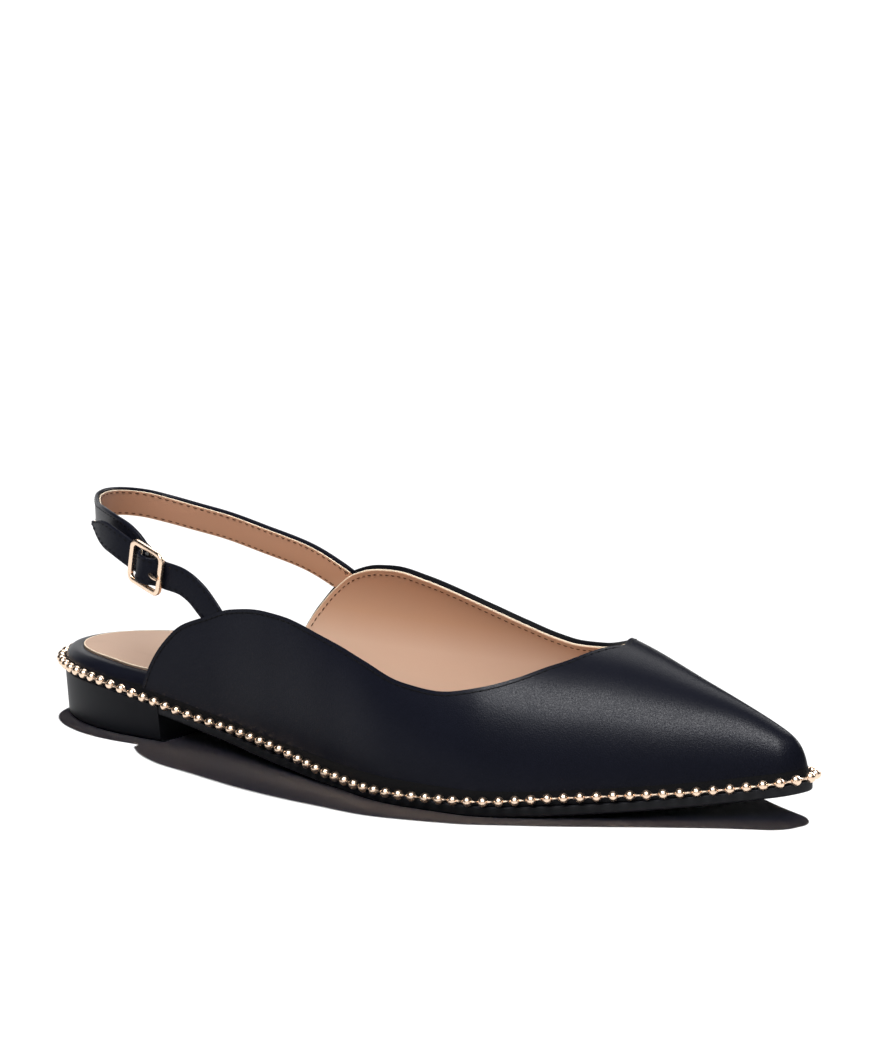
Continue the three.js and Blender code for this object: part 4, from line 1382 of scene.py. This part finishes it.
# How far the lining stops inside the strap's edges, and how much lower than the strap's
# middle it lies, under the leather folded over the upper edge
LINING_MARGIN = 0.55
LINING_SHIFT = 0.42
STRAP_GAP = 0.05
EDGE_SHARE = 0.4
EDGE_SINK, ROW_SINK = 0.4, 0.6
LINING_ROW = {"inset": LINING_MARGIN + 0.6, "radius": 0.14, "rise": 0.2}
LEATHER_ROW = {"inset": 1.1, "radius": 0.16, "rise": 0.22}
# Shares of a strap's thickness that its outer leather has
HEEL_STRAP_LEATHER, BUCKLE_STRAP_LEATHER = 0.74, 0.68
EYE_INSET = 0.1
EYE_STEPS, EYE_SIDES = 6, 24


def rounded_profile(thickness, width, corner):
    """Closed profile of a strap: (across its thickness, up its width)."""
    return [
        (x * (thickness / 2 - corner) + corner * math.cos(turn),
         y * (width / 2 - corner) + corner * math.sin(turn))
        for x, y, turn in round_corners(PROFILE_STEPS)
    ]


def heel_strap_path():
    return Path([
        *ear_points(MEDIAL), *(strap_point(row) for row in SLING_PATH),
        on_buckle(-END_BAR, SLING_LEVEL, SLING_RISE), on_buckle(0, SLING_LEVEL + SLING_TUCK),
    ])


def buckle_strap_path():
    weave = [
        on_buckle(row["along"] * END_BAR, lerp(TAB_UNDER, TAB_OVER, row["over"]))
        for row in TAB_WEAVE
    ]
    return Path([
        *ear_points(LATERAL), *(strap_point(row) for row in TAB_FRONT), *weave,
        *(strap_point(row) for row in TAB_REAR),
    ])


def heel_upright(share):
    return SKYWARD.lerp(BUCKLE_UP, smoothstep(share, 1 - SLING_TWIST, 1))


def buckle_upright(share):
    return BUCKLE_UP


class Strap:
    """A strap's path with the lines along it, cut at the ear's top line."""

    def __init__(self, path, side, upright, tip=0.0):
        self.path = path
        self.side = side
        self.upright = upright
        self.tip = tip
        self.starts = {}

    def axes(self, share):
        """Outward and upward across the strap, which runs to the rear."""
        along = self.path.tangent(share)
        out = along.cross(self.upright(share)).normalized() * self.side
        return out, out.cross(along).normalized() * self.side

    def narrow(self, share):
        """Share of the width that is left, which falls at a pointed tip."""
        left = self.path.length * (1 - share)
        if not self.tip or left >= self.tip:
            return 1.0
        return max(1 - (1 - left / self.tip) ** 2, TIP_BLUNT)

    def spot(self, share, across, up):
        out, over = self.axes(share)
        return self.path.point(share) + out * across + over * (up * self.narrow(share))

    def start(self, up, depth):
        """Share at which the line at a height on the strap comes out of the ear."""
        key = (round(up, 3), depth)
        if key not in self.starts:
            share = 0.0
            while share < SEARCH_END and not self.bare(share, up, depth):
                share += SEARCH_STEP / self.path.length
            self.starts[key] = share
        return self.starts[key]

    def bare(self, share, up, depth):
        """Whether the strap is behind the ear, or over a line under its top line."""
        spot = self.spot(share, 0, up)
        t = (spot.x + LENGTH / 2 + UPPER_OUT) / (LENGTH + 2 * UPPER_OUT)
        rear = TOPLINE[self.side][0]["at"]
        return t < rear or spot.z > topline_height(t, self.side) - depth

    def shell(self, profile, offset):
        """Solid strap of a profile, thinned where it lies in the ear."""
        shell = Shell()
        rings = []
        for i in range(SHELL_STEPS + 1):
            ring = []
            for across, up in profile:
                start = self.start(up, EAR_SINK)
                share = lerp(start, 1.0, i / SHELL_STEPS)
                gone = (share - start) * self.path.length
                thin = lerp(EAR_THIN, 1.0, smoothstep(gone, 0, EAR_TAPER))
                ring.append(shell.add(self.spot(share, offset + across * thin, up)))
            rings.append(ring)
        turned = self.side == MEDIAL
        shell.sheet(rings, flip=turned, round_columns=True)
        shell.face(*rings[0][::1 if turned else -1])
        shell.face(*rings[-1][::-1 if turned else 1])
        return shell

    def line(self, across, up, depth):
        """Points with normals along the strap at one height on one face."""
        start = self.start(up, depth)
        spots = []
        for i in range(LINE_STEPS + 1):
            share = lerp(start, 1.0, i / LINE_STEPS)
            out, _ = self.axes(share)
            spots.append((self.spot(share, across, up), out if across > 0 else -out))
        return spots

    def rows(self, across, middle, row):
        """Two rows of stitches on one face, along both edges."""
        shell = Shell()
        for way in (1, -1):
            up = way * (STRAP_WIDTH / 2 - row["inset"]) + middle
            line = self.line(across, up, ROW_SINK)
            shell.stitches(line, shoe_sizes().stitch / MM, row["radius"], row["rise"])
        return shell


def strap_pieces(name, strap, thickness, skin):
    """Outer leather, lining, cut edges and stitches of one strap."""
    outer = thickness * skin
    back = thickness - outer - STRAP_GAP
    face = (thickness - outer) / 2
    sunk = -(thickness - back) / 2
    black = strap.shell(rounded_profile(outer, STRAP_WIDTH, outer * LEATHER_CORNER), face)
    piece(f"{name}_leather", black, finish_of(black_leather), (name,))
    width = STRAP_WIDTH - 2 * LINING_MARGIN
    profile = rounded_profile(back, width, back * LINING_CORNER)
    inner = strap.shell([(across, up - LINING_SHIFT) for across, up in profile], sunk)
    piece(f"{name}_lining", inner, finish_of(lining_leather))
    # Pale tubes along the strap lining's edges: cut edges, partly a painted highlight
    edge = Shell()
    for up in (width / 2, -width / 2):
        line = strap.line(sunk, up - LINING_SHIFT, EDGE_SINK)
        edge.tube([spot for spot, _ in line], back * EDGE_SHARE)
    piece(f"{name}_edge", edge, finish_of(raw_edge))
    piece(f"{name}_lining_stitches", strap.rows(-thickness / 2, -LINING_SHIFT, LINING_ROW),
          finish_of(lining_thread))
    piece(f"{name}_stitches", strap.rows(thickness / 2, 0, LEATHER_ROW),
          finish_of(black_thread))


def strap_eye():
    """The heel strap's fold round the buckle's bar, notched for the pin."""
    eye = Shell()
    half = STRAP_WIDTH / 2 - EYE_INSET
    notch = PRONG_RADIUS + CLEARANCE
    for low, high in ((-half, -PIN_DROP - notch), (-PIN_DROP + notch, half)):
        spots = [on_buckle(0, BAR_LEVEL, lerp(low, high, i / EYE_STEPS))
                 for i in range(EYE_STEPS + 1)]
        eye.tube(spots, EYE_OUTER, EYE_SIDES, up=SKYWARD.cross(BUCKLE_UP) + Vector((1, 0, 0)))
    return eye


class SLINGBACK_OT_heel_strap(bpy.types.Operator):
    """Strap round the heel, with its eye on the buckle's bar"""

    bl_idname = "slingback.heel_strap"
    bl_label = "Heel strap"

    def execute(self, context):
        strap = Strap(heel_strap_path(), MEDIAL, heel_upright)
        strap_pieces("heel_strap", strap, STRAP_THICKNESS, HEEL_STRAP_LEATHER)
        piece("heel_strap_eye", strap_eye(), finish_of(folded_edge))
        return {"FINISHED"}


class SLINGBACK_OT_buckle_strap(bpy.types.Operator):
    """Strap through the buckle to its free tip"""

    bl_idname = "slingback.buckle_strap"
    bl_label = "Buckle strap"

    def execute(self, context):
        strap = Strap(buckle_strap_path(), LATERAL, buckle_upright, TAB_TIP_LENGTH)
        strap_pieces("buckle_strap", strap, TAB_THICKNESS, BUCKLE_STRAP_LEATHER)
        return {"FINISHED"}


# Power that squares the wire's section, the bar's rest under the frame and where it bends
WIRE_SQUARING = 0.6
WIRE_SIDES, CORNER_STEPS = 16, 10
BAR_END_LEVEL = -0.2
BAR_BEND = 0.82
BAR_STEPS, ROUND_SIDES = 24, 12
# The pin: angles of its eye, how far it reaches past the end bar, and its point
PIN_EYE = {"from": -200, "to": 90, "steps": 18}
PIN_STEPS = 8
PIN_PAST = 0.5
PIN_SETTLED = 0.8
PIN_POINT = {"from": 0.93, "radius": 0.6}


def squared(value):
    """A sine or cosine, pushed out towards 1 or -1."""
    return math.copysign(abs(value) ** WIRE_SQUARING, value)


def buckle():
    """Rounded square frame of squared wire, with its middle bar."""
    shell = Shell()
    half_x, half_y = FRAME_LENGTH / 2, FRAME_HEIGHT / 2
    rings = []
    for x, y, turn in round_corners(CORNER_STEPS):
        way = Vector((math.cos(turn), math.sin(turn)))
        hub = Vector((x * (half_x - FRAME_CORNER), y * (half_y - FRAME_CORNER)))
        middle = hub + way * (FRAME_CORNER - FRAME_WIRE / 2)
        ring = []
        for k in range(WIRE_SIDES):
            a = 2 * math.pi * k / WIRE_SIDES
            flat = middle + way * (squared(math.cos(a)) * FRAME_WIRE / 2)
            deep = squared(math.sin(a)) * FRAME_DEPTH / 2
            ring.append(shell.add(on_buckle(flat.x, deep, flat.y)))
        rings.append(ring)
    shell.sheet(rings, round_rows=True, round_columns=True)
    bar = []
    for i in range(BAR_STEPS + 1):
        u = 2 * i / BAR_STEPS - 1
        level = lerp(BAR_LEVEL, BAR_END_LEVEL, smoothstep(abs(u), BAR_BEND, 1.0))
        bar.append(on_buckle(0, level, u * (half_y - FRAME_WIRE / 2)))
    shell.tube(bar, BAR_RADIUS, ROUND_SIDES, up=on_buckle(1, 0) - on_buckle(0, 0))
    return shell


def pin_radius(share):
    if share < PIN_POINT["from"]:
        return PRONG_RADIUS
    gone = (share - PIN_POINT["from"]) / (1 - PIN_POINT["from"])
    return PRONG_RADIUS * lerp(1, PIN_POINT["radius"], gone)


def pin():
    """Wire pin, from its eye round the bar to its point on the end bar."""
    reach = EYE_OUTER - PIN_INSET - PRONG_RADIUS / 2
    rest = FRAME_DEPTH / 2 + CLEARANCE / 2 + PRONG_RADIUS
    spots = []
    for i in range(PIN_EYE["steps"] + 1):
        turn = math.radians(lerp(PIN_EYE["from"], PIN_EYE["to"], i / PIN_EYE["steps"]))
        outward = BAR_LEVEL + reach * math.sin(turn)
        spots.append(on_buckle(reach * math.cos(turn), outward, -PIN_DROP))
    for i in range(1, PIN_STEPS + 1):
        u = i / PIN_STEPS
        outward = lerp(BAR_LEVEL + reach, rest, smoothstep(u, 0, PIN_SETTLED))
        spots.append(on_buckle(u * (END_BAR + PIN_PAST), outward, -PIN_DROP))
    shell = Shell()
    shell.tube(spots, pin_radius, ROUND_SIDES, up=BUCKLE_UP)
    return shell


class SLINGBACK_OT_buckle(bpy.types.Operator):
    """Buckle frame with its bar, and the pin"""

    bl_idname = "slingback.buckle"
    bl_label = "Buckle"

    def execute(self, context):
        metal = finish_of(plated_metal)
        piece("buckle", buckle(), metal, ("buckle_frame",))
        piece("pin", pin(), metal, ("buckle_pin",))
        return {"FINISHED"}


# Stage

# The fitted camera: angles in radians, lengths in millimetres, and its focal length in
# heights of the picture's pixels
CAMERA = {
    "azimuth": 0.67406, "elevation": 0.19865, "roll": -0.033035, "distance": 1268.53,
    "focal_px": 4455.49, "right": 3.945, "up": 65.807, "shift_x": 0.215,
}
IMAGE_HEIGHT = 1051
SENSOR = 36.0
CLIP = (0.05, 50.0)
FLOOR_REACH = 6.0

# Soft boxes over and round the shoe. lit: whether they light its matt surfaces,
# are mirrored in its gloss and metal, or in the metal alone. The two distant
# lights are the floor's: the key, and a weak blue one in the key's shadow.
MIDDLE = (0, 0, 0.03)
SOFT_BOXES = table("name place aim size power lit", [
    ("shoulder_box", (0.21, -0.45, 0.75), (0.08, 0, 0.03), (0.42, 0.4), 18.0, "gloss"),
    ("overhead", (-0.2, 0.62, 0.75), MIDDLE, (0.9, 0.6), 6.0, "gloss"),
    ("back_card", (-0.9, 0.6, 0.2), MIDDLE, (0.8, 0.35), 1.4, "gloss"),
    ("rear_box", (0.3, 0.85, 0.5), MIDDLE, (0.6, 0.4), 14.0, "gloss"),
    ("metal_card", (0.55, -0.9, 0.6), MIDDLE, (1.6, 1.2), 6.0, "metal"),
    ("top_fill", (-0.05, -0.25, 0.9), MIDDLE, (0.7, 0.5), 14.0, "matt"),
    ("front_fill", (0.6, -0.9, 0.55), MIDDLE, (0.9, 0.9), 1.3, "matt"),
])
FLOOR_LIGHTS = table("name azimuth elevation strength angle color", [
    ("key", 108, 64, 5.0, 2.0, (1, 1, 1)),
    ("shade", -50, 40, 0.075, 30.0, (0.5, 0.56, 1.0)),
])
# Pieces through which the floor's lights pass
UNSHADING = ("heel_strap", "buckle", "pin", "beads", "footbed", "sock", "rand")


def aimed(name, data, way):
    """A lamp in the scene that shines against a direction."""
    lamp = bpy.data.objects.new(name, data)
    lamp.rotation_mode = "QUATERNION"
    lamp.rotation_quaternion = way.to_track_quat("Z", "Y")
    bpy.context.scene.collection.objects.link(lamp)
    return lamp


def linked(name, state, things):
    """Collection that a light takes, with every thing in it included or excluded."""
    group = bpy.data.collections.new(name)
    for thing in things:
        group.objects.link(thing)
    for item in group.collection_objects:
        item.light_linking.link_state = state
    return group


def soft_box(box, receivers):
    light = bpy.data.lights.new(box["name"], "AREA")
    light.shape = "RECTANGLE"
    light.size, light.size_y = box["size"]
    light.energy = box["power"]
    lamp = aimed(box["name"], light, Vector(box["place"]) - Vector(box["aim"]))
    lamp.location = box["place"]
    lamp.visible_glossy = box["lit"] != "matt"
    lamp.visible_diffuse = box["lit"] == "matt"
    lamp.visible_camera = False
    lamp.light_linking.receiver_collection = receivers[box["lit"]]


def floor_light(light, floor_only, passed):
    """Distant light for the floor alone, which some pieces don't shade."""
    sun = bpy.data.lights.new(light["name"], "SUN")
    sun.energy = light["strength"]
    sun.angle = math.radians(light["angle"])
    sun.color = light["color"]
    azimuth, elevation = math.radians(light["azimuth"]), math.radians(light["elevation"])
    lamp = aimed(light["name"], sun, Vector((
        math.cos(elevation) * math.cos(azimuth),
        math.cos(elevation) * math.sin(azimuth),
        math.sin(elevation),
    )))
    lamp.light_linking.receiver_collection = floor_only
    lamp.light_linking.blocker_collection = passed


def pieces_named(*starts):
    return [thing for thing in bpy.context.scene.objects if thing.name.startswith(starts)]


def lay_floor():
    mesh = bpy.data.meshes.new("floor")
    r = FLOOR_REACH
    mesh.from_pydata([(-r, -r, 0), (r, -r, 0), (r, r, 0), (-r, r, 0)], [], [(0, 1, 2, 3)])
    mesh.materials.append(finish_of(stage_floor))
    floor = bpy.data.objects.new("floor", mesh)
    bpy.context.scene.collection.objects.link(floor)
    return floor


def white_world():
    """White all round, which the camera sees and nothing mirrors."""
    world = bpy.data.worlds.new("studio")
    world.use_nodes = True
    world.node_tree.nodes["Background"].inputs["Color"].default_value = (1, 1, 1, 1)
    bpy.context.scene.world = world
    world.cycles_visibility.diffuse = False
    world.cycles_visibility.glossy = False


def light_up(floor):
    floor_only = linked("floor_only", "INCLUDE", [floor])
    passed = linked("thin_pieces", "EXCLUDE", pieces_named(*UNSHADING))
    for light in FLOOR_LIGHTS:
        floor_light(light, floor_only, passed)
    metal = [*pieces_named("beads", "pin"), bpy.context.scene.objects["buckle"]]
    shoe_only = linked("all_but_floor", "EXCLUDE", [floor])
    receivers = {
        "gloss": shoe_only, "matt": shoe_only, "metal": linked("metal_only", "INCLUDE", metal),
    }
    for box in SOFT_BOXES:
        soft_box(box, receivers)


def set_camera():
    c = CAMERA
    a, e, roll = c["azimuth"], c["elevation"], c["roll"]
    right = Vector((math.cos(a), math.sin(a), 0))
    back = Vector((math.sin(a) * math.cos(e), -math.cos(a) * math.cos(e), math.sin(e)))
    up = back.cross(right)
    turned = right * math.cos(roll) + up * math.sin(roll)
    upright = -right * math.sin(roll) + up * math.cos(roll)
    centre = back * c["distance"] + turned * c["right"] + upright * c["up"]
    centre += Vector((c["shift_x"], AXIS_OFFSET, 0))
    data = bpy.data.cameras.new("camera")
    data.sensor_width = SENSOR
    data.lens = c["focal_px"] * SENSOR / IMAGE_HEIGHT
    data.clip_start, data.clip_end = CLIP
    camera = bpy.data.objects.new("camera", data)
    columns = Matrix((turned, upright, back)).transposed().to_4x4()
    camera.matrix_world = Matrix.Translation(centre * MM) @ columns
    bpy.context.scene.collection.objects.link(camera)
    bpy.context.scene.camera = camera


class SLINGBACK_OT_stage(bpy.types.Operator):
    """Pale floor, soft lights and the camera"""

    bl_idname = "slingback.stage"
    bl_label = "Stage"

    def execute(self, context):
        floor = lay_floor()
        white_world()
        light_up(floor)
        set_camera()
        context.scene.view_settings.view_transform = "Standard"
        return {"FINISHED"}


class SLINGBACK_PT_panel(bpy.types.Panel):
    """Lists the shoe's pieces, sizes and colours"""

    bl_idname = "SLINGBACK_PT_panel"
    bl_label = "Slingback"
    bl_space_type = "VIEW_3D"
    bl_region_type = "UI"
    bl_category = "Slingback"

    def draw(self, context):
        for operator in OPERATORS:
            self.layout.operator(operator.bl_idname)
        for group in (context.scene.slingback_sizes, context.scene.slingback_look):
            for name in group.__annotations__:
                self.layout.prop(group, name)


OPERATORS = (
    SLINGBACK_OT_sole, SLINGBACK_OT_footbed, SLINGBACK_OT_upper, SLINGBACK_OT_chain,
    SLINGBACK_OT_heel_strap, SLINGBACK_OT_buckle_strap, SLINGBACK_OT_buckle, SLINGBACK_OT_stage,
)
CLASSES = (SlingbackSizes, SlingbackLook, *OPERATORS, SLINGBACK_PT_panel)


def register():
    for each in CLASSES:
        bpy.utils.register_class(each)
    bpy.types.Scene.slingback_sizes = bpy.props.PointerProperty(type=SlingbackSizes)
    bpy.types.Scene.slingback_look = bpy.props.PointerProperty(type=SlingbackLook)


def unregister():
    del bpy.types.Scene.slingback_sizes
    del bpy.types.Scene.slingback_look
    for each in reversed(CLASSES):
        bpy.utils.unregister_class(each)


def main():
    register()
    bpy.ops.slingback.sole()
    bpy.ops.slingback.footbed()
    bpy.ops.slingback.upper()
    bpy.ops.slingback.chain()
    bpy.ops.slingback.heel_strap()
    bpy.ops.slingback.buckle_strap()
    bpy.ops.slingback.buckle()
    bpy.ops.slingback.stage()


if __name__ == "__main__":
    main()
